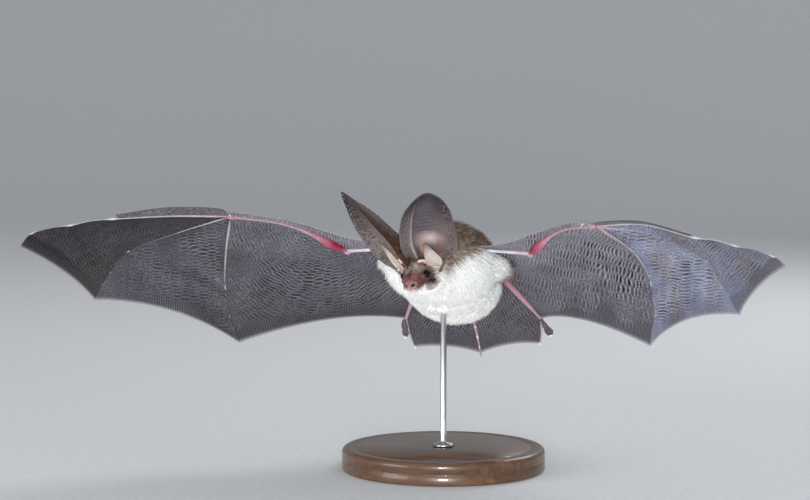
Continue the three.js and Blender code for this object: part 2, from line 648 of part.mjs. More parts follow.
const rodHole = lathe([[0, 0], [STAND.rodRadius + GAP, 0], [STAND.rodRadius + GAP, ROD_TOP + GAP],
  [0, ROD_TOP + GAP]], 8);
add('trunk', cut(trunkBody(0), rodHole, headBody(GAP)), COLOURS.coatWhite);
add('neck', cut(neckBody(0), trunkBody(GAP), headBody(GAP)), COLOURS.coatTan);
add('head', cut(headBody(0), eyeBall(1, GAP), eyeBall(-1, GAP)), COLOURS.coatTan);
add('tail', cut(tailTube(0), trunkBody(GAP)), COLOURS.arm);
for (const [label, side] of [['left', 1], ['right', -1]]) {
  add(`eye_${label}`, eyeBall(side, 0), COLOURS.eye);
  const otherEar = side < 0 ? [earShape(1, 2 * GAP)] : []; // the left ear stands in front of the right
  add(`ear_${label}`, cut(earShape(side, 0), headBody(GAP), neckBody(GAP), trunkBody(GAP), ...otherEar),
    COLOURS.ear);
  add(`tragus_${label}`, cut(tragusShape(side), headBody(GAP), neckBody(GAP), earShape(side, 3 * GAP)),
    COLOURS.tragus);
  for (const [name, geometry] of Object.entries(wing(POSE[label]))) {
    add(`${name}_${label}`, geometry, COLOURS[FINISH[name]]);
  }
}
add('stand_base', standBase(), COLOURS.wood);
add('stand_rod', standRod(), COLOURS.steel, 1);

export default model;
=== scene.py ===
"""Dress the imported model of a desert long-eared bat in flight, life size, on its display stand.

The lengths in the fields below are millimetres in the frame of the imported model: the bat faces -Y,
its left side is at +X and the origin is the centre of the stand's underside. Meshes are in metres.
"""

from __future__ import annotations

import json
import logging
import math
from dataclasses import dataclass, field, fields
from enum import Enum
from functools import partial
from typing import Callable, Iterator, Sequence

import bmesh
import bpy
import numpy as np
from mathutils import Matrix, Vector

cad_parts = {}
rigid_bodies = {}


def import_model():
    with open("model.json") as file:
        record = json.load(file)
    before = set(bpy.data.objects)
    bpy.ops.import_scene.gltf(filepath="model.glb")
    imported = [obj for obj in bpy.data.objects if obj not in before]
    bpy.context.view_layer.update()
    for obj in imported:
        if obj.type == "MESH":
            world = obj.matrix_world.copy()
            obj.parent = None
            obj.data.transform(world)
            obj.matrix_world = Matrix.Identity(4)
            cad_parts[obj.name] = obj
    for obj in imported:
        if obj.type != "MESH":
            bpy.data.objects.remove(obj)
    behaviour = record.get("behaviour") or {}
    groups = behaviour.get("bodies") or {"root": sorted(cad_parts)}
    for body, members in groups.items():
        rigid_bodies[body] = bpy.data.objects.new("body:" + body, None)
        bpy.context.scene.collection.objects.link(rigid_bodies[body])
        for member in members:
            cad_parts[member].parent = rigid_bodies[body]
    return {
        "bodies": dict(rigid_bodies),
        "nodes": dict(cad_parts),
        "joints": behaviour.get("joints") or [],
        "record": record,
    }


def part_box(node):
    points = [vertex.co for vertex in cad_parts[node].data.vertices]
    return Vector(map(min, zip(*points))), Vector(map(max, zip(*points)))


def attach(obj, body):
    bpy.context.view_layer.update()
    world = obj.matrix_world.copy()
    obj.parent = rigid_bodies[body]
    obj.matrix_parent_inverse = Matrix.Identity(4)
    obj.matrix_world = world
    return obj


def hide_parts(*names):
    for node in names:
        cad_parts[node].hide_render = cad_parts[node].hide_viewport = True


LOG = logging.getLogger("bat")
MM = 0.001
# Waves in the noise; how deep tufts root, in mm; the way from throat to rump; cells of fine skin in a metre.
WAVES = 14
BURIED = 0.15
BACKWARD = (0.1, 0.8, -0.6)
WEB_CELLS = 820.0
CLOUD_SPAN = {"From Min": 0.3, "From Max": 0.7, "To Min": 0.0, "To Max": 1.0}
Array = np.ndarray
Field = Callable[[Array], Array]
Masks = dict[str, Array]
Real = Array | float
Pair = tuple[float, float]
Triple = tuple[float, float, float]
Colour = Triple


# ---- small mathematics


def unit(v: Array) -> Array:
    """Scale vectors along the last axis to length one."""
    return v / np.maximum(np.linalg.norm(v, axis=-1, keepdims=True), 1e-12)


def ease(t: Real) -> Array:
    """Rise smoothly from 0 to 1 as t does, clipped to that range."""
    c = np.clip(t, 0.0, 1.0)
    return c * c * (3 - 2 * c)


def mix(a: Real, b: Real, t: Real) -> Array:
    """Go from a to b as t goes from 0 to 1."""
    return a + (b - a) * t


def bell(x: Array, centre: float, width: float) -> Array:
    """A bump of height one at a centre."""
    return np.exp(-(((x - centre) / width) ** 2))


def ripples(points: Array, pitch: float, seed: int) -> Iterator[tuple[Array, Array]]:
    """Draw seeded plane waves.

    Args:
        points: Places, in mm.
        pitch: The mean distance from crest to crest.
        seed: The random seed.

    Yields:
        The direction of each wave and its phase at the places.
    """
    rng = np.random.default_rng(seed)
    for _ in range(WAVES):
        heading = unit(rng.normal(size=3))
        scale = 2 * math.pi / (pitch * rng.uniform(0.7, 1.6))
        yield heading, points @ (heading * scale) + rng.uniform(0, 2 * math.pi)


def rough(points: Array, pitch: float, seed: int) -> Array:
    """Make smooth noise of about -1 to 1, its hills a mean pitch apart."""
    waves = (np.sin(phase) for _, phase in ripples(points, pitch, seed))
    return sum(waves, np.zeros(points.shape[:-1])) / math.sqrt(WAVES)


def rough_slope(points: Array, pitch: float, seed: int) -> Array:
    """Give the slope of that noise, scaled to about length one."""
    waves = (np.cos(phase)[..., None] * heading for heading, phase in ripples(points, pitch, seed))
    return sum(waves, np.zeros(points.shape)) / math.sqrt(WAVES / 2)


def between(a: Array, b: Array) -> Field:
    """Give the straight line from a to b, read by shares of its length."""
    return lambda s: mix(a, b, np.asarray(s)[..., None])


def turning(degrees: float) -> Pair:
    """Give the cosine and the sine of an angle."""
    return math.cos(math.radians(degrees)), math.sin(math.radians(degrees))


def turned_x(v: Array, degrees: float) -> Array:
    """Turn vectors about X."""
    c, s = turning(degrees)
    return np.stack([v[..., 0], c * v[..., 1] - s * v[..., 2], s * v[..., 1] + c * v[..., 2]], -1)


class Path:
    """A smooth line through points, read by its share of length."""

    def __init__(self, points: list[Array], straight: bool = False) -> None:
        """Lay the line.

        Args:
            points: The points that it passes through.
            straight: True for straight stretches between the points.
        """
        knots = [np.asarray(p, float) for p in points]
        dense = knots if straight else self._smooth(knots)
        self.points = np.array(dense)
        steps = np.linalg.norm(np.diff(self.points, axis=0), axis=1)
        self.length = float(steps.sum())
        self._shares = np.concatenate([[0.0], np.cumsum(steps)]) / self.length

    @staticmethod
    def _smooth(knots: list[Array], fine: int = 32) -> list[Array]:
        """Put points along the centripetal spline through the knots."""
        ends = [2 * knots[0] - knots[1], *knots, 2 * knots[-1] - knots[-2]]
        found = []
        for i in range(1, len(ends) - 2):
            p0, p1, p2, p3 = ends[i - 1 : i + 3]
            pairs = ((p0, p1), (p1, p2), (p2, p3))
            d0, d1, d2 = (max(np.linalg.norm(b - a), 1e-6) ** 0.5 for a, b in pairs)
            m1 = ((p1 - p0) / d0 - (p2 - p0) / (d0 + d1) + (p2 - p1) / d1) * d1
            m2 = ((p2 - p1) / d1 - (p3 - p1) / (d1 + d2) + (p3 - p2) / d2) * d1
            w = np.linspace(0, 1, fine, endpoint=False)[:, None]
            found += list(
                p1 + m1 * w + (3 * (p2 - p1) - 2 * m1 - m2) * w**2 + (2 * (p1 - p2) + m1 + m2) * w**3
            )
        return [*found, knots[-1]]

    def at(self, u: Real) -> Array:
        """Give the points at shares u of the length."""
        return np.stack([np.interp(u, self._shares, self.points[:, k]) for k in range(3)], -1)

    def tangent(self, u: Real) -> Array:
        """Give the unit directions at shares u of the length."""
        u = np.asarray(u)
        return unit(self.at(np.minimum(u + 0.004, 1)) - self.at(np.maximum(u - 0.004, 0)))


# ---- meshes


class Finish(Enum):
    """The finishes of the skin, in the order of its material slots."""

    WING = 0
    LIMB = 1
    FACE = 2
    EAR = 3


@dataclass
class Shell:
    """One closed surface: points in mm, its faces and its masks."""

    points: Array
    quads: Array = field(default_factory=lambda: np.zeros((0, 4), int))
    tris: Array = field(default_factory=lambda: np.zeros((0, 3), int))
    masks: Masks = field(default_factory=dict)
    finish: Finish = Finish.WING
    uv: Array | None = None

    def count(self) -> int:
        """Count the triangles."""
        return 2 * len(self.quads) + len(self.tris)


def make_piece(name: str, shells: list[Shell], materials: list[bpy.types.Material]) -> bpy.types.Object:
    """Gather closed shells in one mesh object. They stay separate surfaces and may run into one another.

    Args:
        name: The piece's name.
        shells: Its closed surfaces.
        materials: One material, or one for each Finish.

    Returns:
        The new object, with a point attribute for each mask.
    """
    starts = np.cumsum([0] + [len(s.points) for s in shells])
    points = np.concatenate([s.points for s in shells]) * MM
    quads = np.concatenate([s.quads + o for s, o in zip(shells, starts)]).astype(np.int32)
    tris = np.concatenate([s.tris + o for s, o in zip(shells, starts)]).astype(np.int32)
    mesh = bpy.data.meshes.new(name)
    mesh.vertices.add(len(points))
    mesh.vertices.foreach_set("co", points.astype(np.float32).ravel())
    corners = np.concatenate([quads.ravel(), tris.ravel()])
    mesh.loops.add(len(corners))
    mesh.loops.foreach_set("vertex_index", corners)
    sizes = np.concatenate([np.full(len(quads), 4), np.full(len(tris), 3)])
    mesh.polygons.add(len(sizes))
    mesh.polygons.foreach_set("loop_start", (np.cumsum(sizes) - sizes).astype(np.int32))
    mesh.polygons.foreach_set("use_smooth", np.ones(len(sizes), bool))
    for material in materials:
        mesh.materials.append(material)
    if len(materials) > 1:
        index = [np.full(len(s.quads), s.finish.value) for s in shells]
        index += [np.full(len(s.tris), s.finish.value) for s in shells]
        mesh.polygons.foreach_set("material_index", np.concatenate(index).astype(np.int32))
    mesh.update(calc_edges=True)
    for mask in sorted({m for s in shells for m in s.masks}):
        wide = max(s.masks[mask].ndim for s in shells if mask in s.masks) > 1
        blank = [np.zeros((len(s.points), 3) if wide else len(s.points)) for s in shells]
        parts = [s.masks.get(mask, b) for s, b in zip(shells, blank)]
        layer = mesh.attributes.new(mask, "FLOAT_VECTOR" if wide else "FLOAT", "POINT")
        values = np.concatenate(parts).astype(np.float32).ravel()
        layer.data.foreach_set("vector" if wide else "value", values)
    if all(s.uv is not None for s in shells):
        uv = np.concatenate([s.uv for s in shells])[corners]
        mesh.uv_layers.new(name="OFBake").data.foreach_set("uv", uv.astype(np.float32).ravel())
    piece = bpy.data.objects.new(name, mesh)
    bpy.context.scene.collection.objects.link(piece)
    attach(piece, "root")
    LOG.info("%s: %d triangles", name, sum(s.count() for s in shells))
    return piece


def sheet(grid: Array, half: Array, masks: Masks, finish: Finish) -> Shell:
    """Thicken a grid of points into a closed sheet.

    Args:
        grid: Points, rows by columns by 3.
        half: Half the thickness at each point.
        masks: Masks on the grid.
        finish: The sheet's finish.

    Returns:
        The closed sheet, its front first.
    """
    rows, columns = grid.shape[:2]
    normal = unit(np.cross(np.gradient(grid, axis=0), np.gradient(grid, axis=1)))
    points = np.concatenate([(grid + sign * normal * half[..., None]).reshape(-1, 3) for sign in (1, -1)])
    index = np.arange(rows * columns).reshape(rows, columns)
    a, b, c, d = (k.ravel() for k in (index[:-1, :-1], index[1:, :-1], index[1:, 1:], index[:-1, 1:]))
    count = rows * columns
    rim = np.concatenate([index[:-1, 0], index[-1, :-1], index[:0:-1, -1], index[0, :0:-1]])
    onward = np.roll(rim, -1)
    faces = [np.stack([a, b, c, d], 1), np.stack([a, d, c, b], 1) + count]
    quads = np.concatenate([*faces, np.stack([rim, rim + count, onward + count, onward], 1)])
    both = {k: np.concatenate([m.reshape(count, *m.shape[2:])] * 2) for k, m in masks.items()}
    both["back"] = np.repeat([0.0, 1.0], count)
    return Shell(points, quads=quads, masks=both, finish=finish)


def drum(rings: int, sides: int) -> tuple[Array, Array]:
    """Join rings of points into a closed drum.

    Args:
        rings: How many rings there are.
        sides: How many points each has.

    Returns:
        The quads between the rings, and the triangles to the two end points that follow them.
    """
    index = np.arange(rings * sides).reshape(rings, sides)
    after = np.roll(index, -1, 1)
    quads = np.stack([index[:-1], after[:-1], after[1:], index[1:]], -1).reshape(-1, 4)
    caps = [np.stack([np.full(sides, rings * sides), after[0], index[0]], 1)]
    caps.append(np.stack([np.full(sides, rings * sides + 1), index[-1], after[-1]], 1))
    return quads, np.concatenate(caps)


def tube(
    path: Path,
    radius: Field,
    steps: int,
    sides: int,
    masks: Callable[[Array], Masks],
    finish: Finish = Finish.LIMB,
    flat: float = 1.0,
) -> Shell:
    """Sweep a closed tube along a path.

    Args:
        path: The tube's middle.
        radius: The radius at each share of the length.
        steps: Rings along it, less one.
        sides: Points round each ring.
        masks: Masks from the share of the length.
        finish: The tube's finish.
        flat: The share of the radius that is kept up and down.

    Returns:
        The closed tube.
    """
    u = np.linspace(0, 1, steps + 1)
    middle, along = path.at(u), path.tangent(u)
    side = unit(np.cross(along, [0.13, 0.29, 0.95]))
    up = np.cross(side, along)
    angle = np.linspace(0, 2 * math.pi, sides, endpoint=False)
    across, high = (turn(angle)[None, :, None] for turn in (np.cos, np.sin))
    ring = across * side[:, None] + flat * high * up[:, None]
    size = np.maximum(radius(u), 0.02)
    rings = middle[:, None] + ring * size[:, None, None]
    tips = np.stack([middle[0] - along[0] * size[0] * 0.6, middle[-1] + along[-1] * size[-1] * 0.6])
    share = np.concatenate([np.repeat(u, sides), [0.0, 1.0]])
    points = np.concatenate([rings.reshape(-1, 3), tips])
    return Shell(points, *drum(steps + 1, sides), masks(share), finish)


def ball(fineness: int) -> tuple[Array, Array]:
    """Give the directions and triangles of an even ball.

    Args:
        fineness: How often its triangles are split.

    Returns:
        Unit directions and triangles.
    """
    made = bmesh.new()
    bmesh.ops.create_icosphere(made, subdivisions=fineness, radius=1.0)
    directions = unit(np.array([v.co[:] for v in made.verts]))
    triangles = np.array([[v.index for v in f.verts] for f in made.faces])
    made.free()
    return directions, triangles


@dataclass(frozen=True)
class Blob:
    """An ellipsoid that helps to shape a body."""

    at: Triple
    size: Triple
    turn: float = 0.0

    def reach(self, start: Array, directions: Array) -> Array:
        """Tell how far rays from an inner point go before they leave the blob.

        Args:
            start: The inner point.
            directions: Unit vectors.

        Returns:
            One distance for each direction.
        """
        size = np.array(self.size)
        o = turned_x(start - np.array(self.at), -self.turn) / size
        d = turned_x(directions, -self.turn) / size
        a, b, c = (d * d).sum(-1), d @ o, o @ o - 1
        found = b * b - a * c
        return np.where(found < 0, 0.01, np.maximum((-b + np.sqrt(np.maximum(found, 0))) / a, 0.01))


@dataclass(frozen=True)
class Rounded:
    """A body that is seen whole from one inner point: the soft union of blobs."""

    centre: Triple
    blobs: tuple[Blob, ...]
    sharp: int = 9

    def radius(self, directions: Array) -> Array:
        """Give the body's reach in each direction."""
        reaches = np.stack([b.reach(np.array(self.centre), directions) for b in self.blobs])
        low = (reaches**self.sharp).sum(0)
        return (reaches ** (self.sharp + 1)).sum(0) / low


def normals_of(points: Array, triangles: Array) -> Array:
    """Give smooth unit normals at the points of a triangle mesh."""
    a, b, c = (points[triangles[:, k]] for k in range(3))
    flat = np.cross(b - a, c - a)
    total = np.zeros_like(points)
    for k in range(3):
        np.add.at(total, triangles[:, k], flat)
    return unit(total)


# ---- the skeleton


def pointing(forward: float, rise: float, side: int) -> Array:
    """Give the unit direction some degrees forward of sideways and above the level, on one side."""
    (ahead, aside), (level, up) = turning(forward), turning(rise)
    return np.array([side * level * ahead, -level * aside, up])


@dataclass(frozen=True)
class SidePose:
    """How the bones of one side point: (degrees forward of sideways, degrees above the level)."""

    side: int
    upper_arm: Pair
    forearm: Pair
    finger_3: tuple[Pair, ...]
    finger_4: tuple[Pair, ...]
    finger_5: tuple[Pair, ...]
    knee: Triple
    shin: Pair
    calcar: Pair
    palm_bows: tuple[Triple, ...]
    lead: Pair
    fifth_aside: Triple
    foot: Triple

LEFT = SidePose(
    1, (1, -3), (44, 15.5), ((23, -3), (20, -7.5), (25, -10.5), (40, -24)),
    ((3.5, -15), (22, -53), (36, -46)), ((-66, -34), (28, -81), (-137, -75)),
    (23.5, 36.5, -19.5), (-40, -45), (-111, -58),
    ((0.3, -0.4, 3.2), (1.2, -0.2, 4.2), (2.8, 0, 2.6)), (90, 15), (3.9, -0.6, -0.9), (0.5, 0.2, -0.85),
)
RIGHT = SidePose(
    -1, (4, -4.5), (36.5, 17), ((26, -1), (28.5, -8), (18, -12), (57, -45)),
    ((7.5, -18.5), (32, -48), (38, -60)), ((-60, -45), (-164, -82), (-147, -71)),
    (24, 36, -23.5), (-52, -42), (-130, -70),
    ((0, -0.4, 0.8), (0, -0.4, 0.8), (-0.6, -0.4, 0.8)), (90, 55), (0, 0, 0), (0, 0.2, -0.93),
)


@dataclass
class Skeleton:
    """The places of the joints, worked out from bone lengths and the pose of each side."""

    shoulders: Triple = (0, -8, 110)
    shoulder_half: float = 11
    upper_arm: float = 36
    forearm: float = 61
    forearm_bow: Triple = (0, -1.6, 4.2)
    finger_bow: Triple = (0, -0.4, 0.8)
    fingers: dict[str, tuple[float, ...]] = field(
        default_factory=lambda: {
            "finger_3": (56, 20.4, 19.6, 9.3),
            "finger_4": (55, 14, 15.7),
            "finger_5": (52, 15.4, 14.7),
        }
    )
    finger_start: dict[str, float] = field(
        default_factory=lambda: {"finger_3": 1.0, "finger_4": 1.5, "finger_5": 3.4}
    )
    second_rise: tuple[float, ...] = (3.5, 4.8, 2.1)
    shin: float = 26.4
    calcar: float = 16.3
    tail: tuple[Triple, ...] = (
        (0, 30, -25), (0, 43, -32.5), (0, 54, -41), (0, 61.5, -51.5), (0, 67, -61.6),
    )

    def from_shoulders(self, x: float, y: float, z: float) -> Array:
        """Give a place from the point midway between the shoulder joints."""
        return np.array([x, y, z]) + np.array(self.shoulders)

    def tail_path(self) -> Path:
        """Lay the tail."""
        return Path([self.from_shoulders(*p) for p in self.tail])


def chain(start: Array, lengths: tuple[float, ...], turns: tuple, side: int) -> list[Array]:
    """Lay bones end to end.

    Args:
        start: The first joint.
        lengths: The bones' lengths.
        turns: How each bone points.
        side: 1 for the left, -1 for the right.

    Returns:
        The joints, the first one included.
    """
    joints = [start]
    for length, turn in zip(lengths, turns):
        joints.append(joints[-1] + pointing(*turn, side) * length)
    return joints


def bowed(points: list[Array], *bows: Array) -> Path:
    """Run a path along bones that bow a little.

    Args:
        points: The joints.
        *bows: How far the middle of each bone stands off a straight line; the last holds for the rest.

    Returns:
        The path.
    """
    found = [points[0]]
    for number, (a, b) in enumerate(zip(points, points[1:])):
        found += [(a + b) / 2 + bows[min(number, len(bows) - 1)], b]
    return Path(found)


@dataclass
class WingBones:
    """The lines of the arm, hand and leg of one side."""

    skeleton: Skeleton
    pose: SidePose

    def __post_init__(self) -> None:
        """Work the lines out."""
        s, p, side = self.skeleton, self.pose, self.pose.side
        self.side = side
        self.shoulder = s.from_shoulders(side * s.shoulder_half, 0, 0)
        arm = chain(self.shoulder, (s.upper_arm, s.forearm), (p.upper_arm, p.forearm), side)
        self.elbow, self.wrist = arm[1:]
        self.upper_arm = Path([self.shoulder, self.elbow], straight=True)
        self.forearm = bowed([self.elbow, self.wrist], np.array(s.forearm_bow))
        self.joints: dict[str, list[Array]] = {}
        self.fingers: dict[str, Path] = {}
        for (name, lengths), bow in zip(s.fingers.items(), p.palm_bows):
            joints = chain(self.wrist, lengths, getattr(p, name), side)
            start = mix(joints[0], joints[1], s.finger_start[name] / lengths[0])
            self.joints[name] = joints
            if name == "finger_5" and side > 0:
                start = start + p.fifth_aside
                root = mix(self.wrist, start, 0.25)
                self.fingers[name] = bowed([root, start, *joints[1:]], (0, 0, 0.5), bow, s.finger_bow)
            else:
                self.fingers[name] = bowed([start, *joints[1:]], bow, s.finger_bow)
        self.lead = pointing(*p.lead, side)
        rises = [self.over_palm(u, r) for u, r in zip((0.05, 0.5, 0.97), s.second_rise)]
        self.fingers["finger_2"] = Path([mix(self.wrist, rises[0], 0.5), *rises])
        self.knee = s.from_shoulders(side * p.knee[0], *p.knee[1:])
        leg = chain(self.knee, (s.shin, s.calcar), (p.shin, p.calcar), side)
        self.ankle, self.calcar_tip = leg[1:]

    def over_palm(self, u: float, rise: float) -> Array:
        """Give a place in front of the third finger's palm bone."""
        bow = np.array(self.pose.palm_bows[0]) * 4 * u * (1 - u)
        return mix(self.wrist, self.joints["finger_3"][1], u) + self.lead * rise + bow

    def knots(self, name: str) -> Array:
        """Give the shares of a finger's length where its joints lie."""
        lengths = np.array(self.skeleton.fingers[name])
        return np.cumsum(lengths)[:-1] / lengths.sum()


# ---- limbs


@dataclass
class Limbs:
    """The skin over the bones of one side: arm, fingers, thumb, leg, foot and calcar."""

    bones: WingBones
    sides: int = 14
    foot_length: float = 4.6
    toe: float = 5.2
    toe_fan: float = 26
    claw: float = 2.3

    def bone_radius(self, u: Array, thick: float, thin: float, knots: Sequence[float] = ()) -> Array:
        """Give a thin bone's radius at shares u of its length, with a knob at each joint."""
        knob = sum(0.14 * bell(u, k, 0.014) for k in knots)
        return (mix(thick, thin, u) + knob) * np.sqrt(np.minimum(1, 0.35 + 12 * np.minimum(u, 1 - u)))

    def forearm_radius(self, u: Array) -> Array:
        """Give the forearm's radius: the muscle swells near the elbow and the wrist is knobbed."""
        return 0.85 + 1.6 * bell(u, 0.16, 0.12) + 0.7 * bell(u, 1.0, 0.05) - 0.1 * bell(u, 0.6, 0.2)

    def shells(self) -> list[Shell]:
        """Make every limb of this side."""
        b = self.bones
        upper = tube(
            b.upper_arm, lambda u: mix(2.3, 0.8, u**0.4) + 0.35 * u**6, 40, self.sides, self.upper_masks
        )
        made = [upper, tube(b.forearm, self.forearm_radius, 110, self.sides + 6, self.arm_masks)]
        sizes = {"finger_3": (0.62, 0.3), "finger_4": (0.52, 0.27), "finger_5": (0.66, 0.3)}
        for name, (thick, thin) in sizes.items():
            knots = b.knots(name)
            size = partial(self.bone_radius, thick=thick, thin=thin, knots=knots)
            made.append(tube(b.fingers[name], size, 150, 10, partial(self.finger_masks, knots=knots)))
        second = partial(self.bone_radius, thick=0.45, thin=0.32)
        made.append(tube(b.fingers["finger_2"], second, 60, 10, lambda u: {"grey": 0.8 + 0 * u}))
        thumb = partial(self.bone_radius, thick=0.95, thin=0.4, knots=(0.5,))
        made.append(tube(self.thumb_path(), thumb, 30, 12, lambda u: {"pink": mix(0.4, 0.2, u)}))
        leg = Path([mix(b.ankle, b.knee, 1.12), b.knee, b.ankle], straight=True)
        shin = tube(leg, lambda u: mix(1.75, 0.8, u) + 0.3 * bell(u, 0.98, 0.06), 60, 14, self.leg_masks)
        spur = partial(self.bone_radius, thick=0.68, thin=0.36)
        made += [shin, tube(self.calcar_path(), spur, 40, 10, self.finger_masks)]
        return made + self.foot() + self.knobs()

    def upper_masks(self, u: Array) -> Masks:
        """Mark the upper arm, pale with a pinker elbow."""
        return {"pale": 0.9 - 0.75 * u**2, "pink": 0.1 + 0.4 * u**3}

    def arm_masks(self, u: Array) -> Masks:
        """Mark the muscle, deep red at the elbow and paler outwards."""
        return {
            "red": 1.1 * bell(u, 0.085, 0.08) + 0.5 * bell(u, 0.22, 0.09),
            "pink": 0.35 + 0.45 * bell(u, 0.3, 0.22) + 0.3 * bell(u, 1.0, 0.12),
        }

    def leg_masks(self, u: Array) -> Masks:
        """Mark the leg, redder at the knee."""
        return {"pink": 0.85 - 0.35 * u, "red": 0.25 * bell(u, 0.15, 0.2)}

    def finger_masks(self, u: Array, knots: Sequence[float] = ()) -> Masks:
        """Mark a finger: pinkish at the wrist and pale at its joints."""
        joints = sum((bell(u, k, 0.02) for k in knots), np.zeros_like(u))
        pale = 0.15 + 0.5 * np.clip(joints, 0, 1) - 0.15 * bell(u, 1.0, 0.35)
        return {"pink": 0.5 * bell(u, 0.0, 0.1), "pale": pale, "red": 0.2 * bell(u, 0, 0.05)}

    def thumb_path(self) -> Path:
        """Lay the thumb, which curls back to its claw."""
        b, side = self.bones, self.bones.side
        out = pointing(104, 12, side)
        bend = b.wrist + out * 5.2 + [-side * 0.6, 0, 0.6]
        return Path([b.wrist + out * 1.2, bend, b.wrist + out * 6.9 + [-side * 1.3, 0, -0.3]])

    def calcar_path(self) -> Path:
        """Lay the spur that stretches the tail membrane from the ankle."""
        b = self.bones
        middle = mix(b.ankle, b.calcar_tip, 0.55) + [b.side * 0.6, 0, 0]
        return Path([mix(b.ankle, b.calcar_tip, 0.02), middle, b.calcar_tip])

    def knobs(self) -> list[Shell]:
        """Round the wrist's small bones, the elbow's point and the pale tip of the calcar.

        Returns:
            The three lumps.
        """
        b = self.bones
        directions, triangles = ball(4)
        made = []
        for at, size, values in (
            (b.wrist, (2.3, 1.9, 1.5), {"pink": 0.8, "red": 0.12}),
            (b.elbow + [0, 0.6, -0.5], (1.8, 1.6, 1.5), {"pink": 0.5, "pale": 0.1}),
            (b.calcar_tip + [0, 0, 0.2], (0.9, 0.75, 1.0), {"pale": 0.6}),
        ):
            masks = {k: np.full(len(directions), v) for k, v in values.items()}
            points = at + directions * np.array(size)
            made.append(Shell(points, tris=triangles, masks=masks, finish=Finish.LIMB))
        return made

    def foot_frame(self) -> tuple[Array, Array, Array]:
        """Give the heel, the foot's direction and the way its toes spread."""
        side = self.bones.side
        down = unit(np.array(self.bones.pose.foot))
        across = unit(np.array([0.95, 0.3 * side, 0.3 * side]))
        return self.bones.ankle + [side * 0.7, -0.4, -1.5], down, across

    def toe_paths(self) -> list[tuple[Path, Array]]:
        """Lay the five toes, each with the direction in which its claw leaves it."""
        heel, down, across = self.foot_frame()
        front = heel + down * (self.foot_length - 0.8)
        found = []
        for n in range(-2, 3):
            angle = math.radians(n * self.toe_fan / 4)
            out = down * math.cos(angle) + across * math.sin(angle)
            root = front + across * n * 0.5
            tip = front + down * self.toe * 0.82 + across * n * 0.42 + [0, -0.45, -0.1]
            found.append((Path([root, root + out * self.toe * 0.5 + [0, 0.15, 0], tip]), out))
        return found

    def foot_masks(self, u: Array) -> Masks:
        """Mark the foot, dark and less pink towards the toes' ends."""
        return {"grey": 0.82 + 0.1 * u, "pink": 0.5 - 0.3 * u}

    def foot(self) -> list[Shell]:
        """Make the sole and the toes, a little knuckled."""
        heel, down, _ = self.foot_frame()
        sole = Path([self.bones.ankle, heel, heel + down * self.foot_length])
        made = [
            tube(
                sole, lambda u: 0.95 + 0.85 * ease(u * 1.3) - 0.5 * bell(u, 1.0, 0.1),
                40, 14, self.foot_masks, flat=0.72,
            )
        ]
        for toe, _ in self.toe_paths():
            made.append(tube(toe, self.toe_radius, 20, 9, self.foot_masks))
        return made

    def toe_radius(self, u: Array) -> Array:
        """Give a toe's radius along it, with one knuckle."""
        return 0.52 - 0.14 * u + 0.09 * bell(u, 0.55, 0.1)

    def claws(self) -> list[Shell]:
        """Make the toes' claws and the thumb's, hooked and tapered to a point."""
        made = []
        toe_bend, thumb_bend = np.array([0, -0.7, 0.1]), np.array([0, 0.2, -1.0])
        hooks = [(path, toe_bend, self.claw) for path, _ in self.toe_paths()]
        for path, bend, length in (*hooks, (self.thumb_path(), thumb_bend, self.claw * 0.9)):
            start, along = path.at(1.0), path.tangent(1.0)
            tip = start + along * length * 0.72 + bend * length * 0.55
            hook = Path([start - along * 0.5, start + along * length * 0.42 + bend * length * 0.1, tip])
            made.append(tube(hook, lambda u: 0.34 * (1 - u) ** 0.7 + 0.02, 14, 8, lambda u: {}))
        return made


# ---- membranes


@dataclass(frozen=True)
class Spot:
    """A patch of creases on the plane that faces forward: its middle, half sizes, tilt and strength."""

    at: Pair
    size: Pair
    tilt: float
    strength: float

    def share(self, across: Array, up: Array) -> Array:
        """Tell how strong the creases are at places of the plane."""
        c, s = turning(self.tilt)
        x, y = across - self.at[0], up - self.at[1]
        far = np.hypot((c * x + s * y) / self.size[0], (c * y - s * x) / self.size[1])
        return self.strength * ease((1.35 - far) / 0.7)


@dataclass(frozen=True)
class Folds:
    """The strokes that slack skin falls into: spacing, length, direction and where they are.

    turn is the strokes' direction in degrees from sideways. With a hub, they run round it instead.
    """

    pitch: float = 1.4
    length: float = 4.0
    turn: float = 90.0
    slip: float = 0.0
    hub: Pair | None = None
    spots: tuple[Spot, ...] = ()

    def weave(self, across: Array, up: Array) -> tuple[Array, Array]:
        """Count strokes side by side and end to end.

        Args:
            across: Places on the plane, sideways.
            up: The same places, upwards.

        Returns:
            How many strokes lie beside and how many before each place.
        """
        if self.hub is None:
            c, s = turning(self.turn)
            along, aside = across * c + up * s, up * c - across * s
        else:
            x, y = across - self.hub[0], self.hub[1] - up
            aside = np.hypot(x, y)
            along = np.arctan2(x, y) * 42
        return aside / self.pitch, (along + self.slip * aside) / self.length

    def strength(self, across: Array, up: Array) -> Array:
        """Add up the spots."""
        return np.clip(sum((s.share(across, up) for s in self.spots), np.zeros_like(up)), 0, 1)


@dataclass(frozen=True)
class Panel:
    """One membrane panel: its edges, how the air swells it, its creases and its colour.

    near and far run from the first bone to the last, first and last from the inner to the outer edge.
    """

    name: str
    near: Field
    far: Field
    first: Field
    last: Field
    width: float
    depth: float
    billow: float
    bones: tuple[Path, ...]
    folds: Folds = Folds()
    line_pitch: float = 1.0
    lines: float = 0.8
    brown: float = 0.3
    # A painted bluish sheen: the reflection of the light on the membrane.
    blue: float = 0.2
    # The panel's brightness: painted light and shade, the left wing set lighter than the right.
    tone: float = 1.0


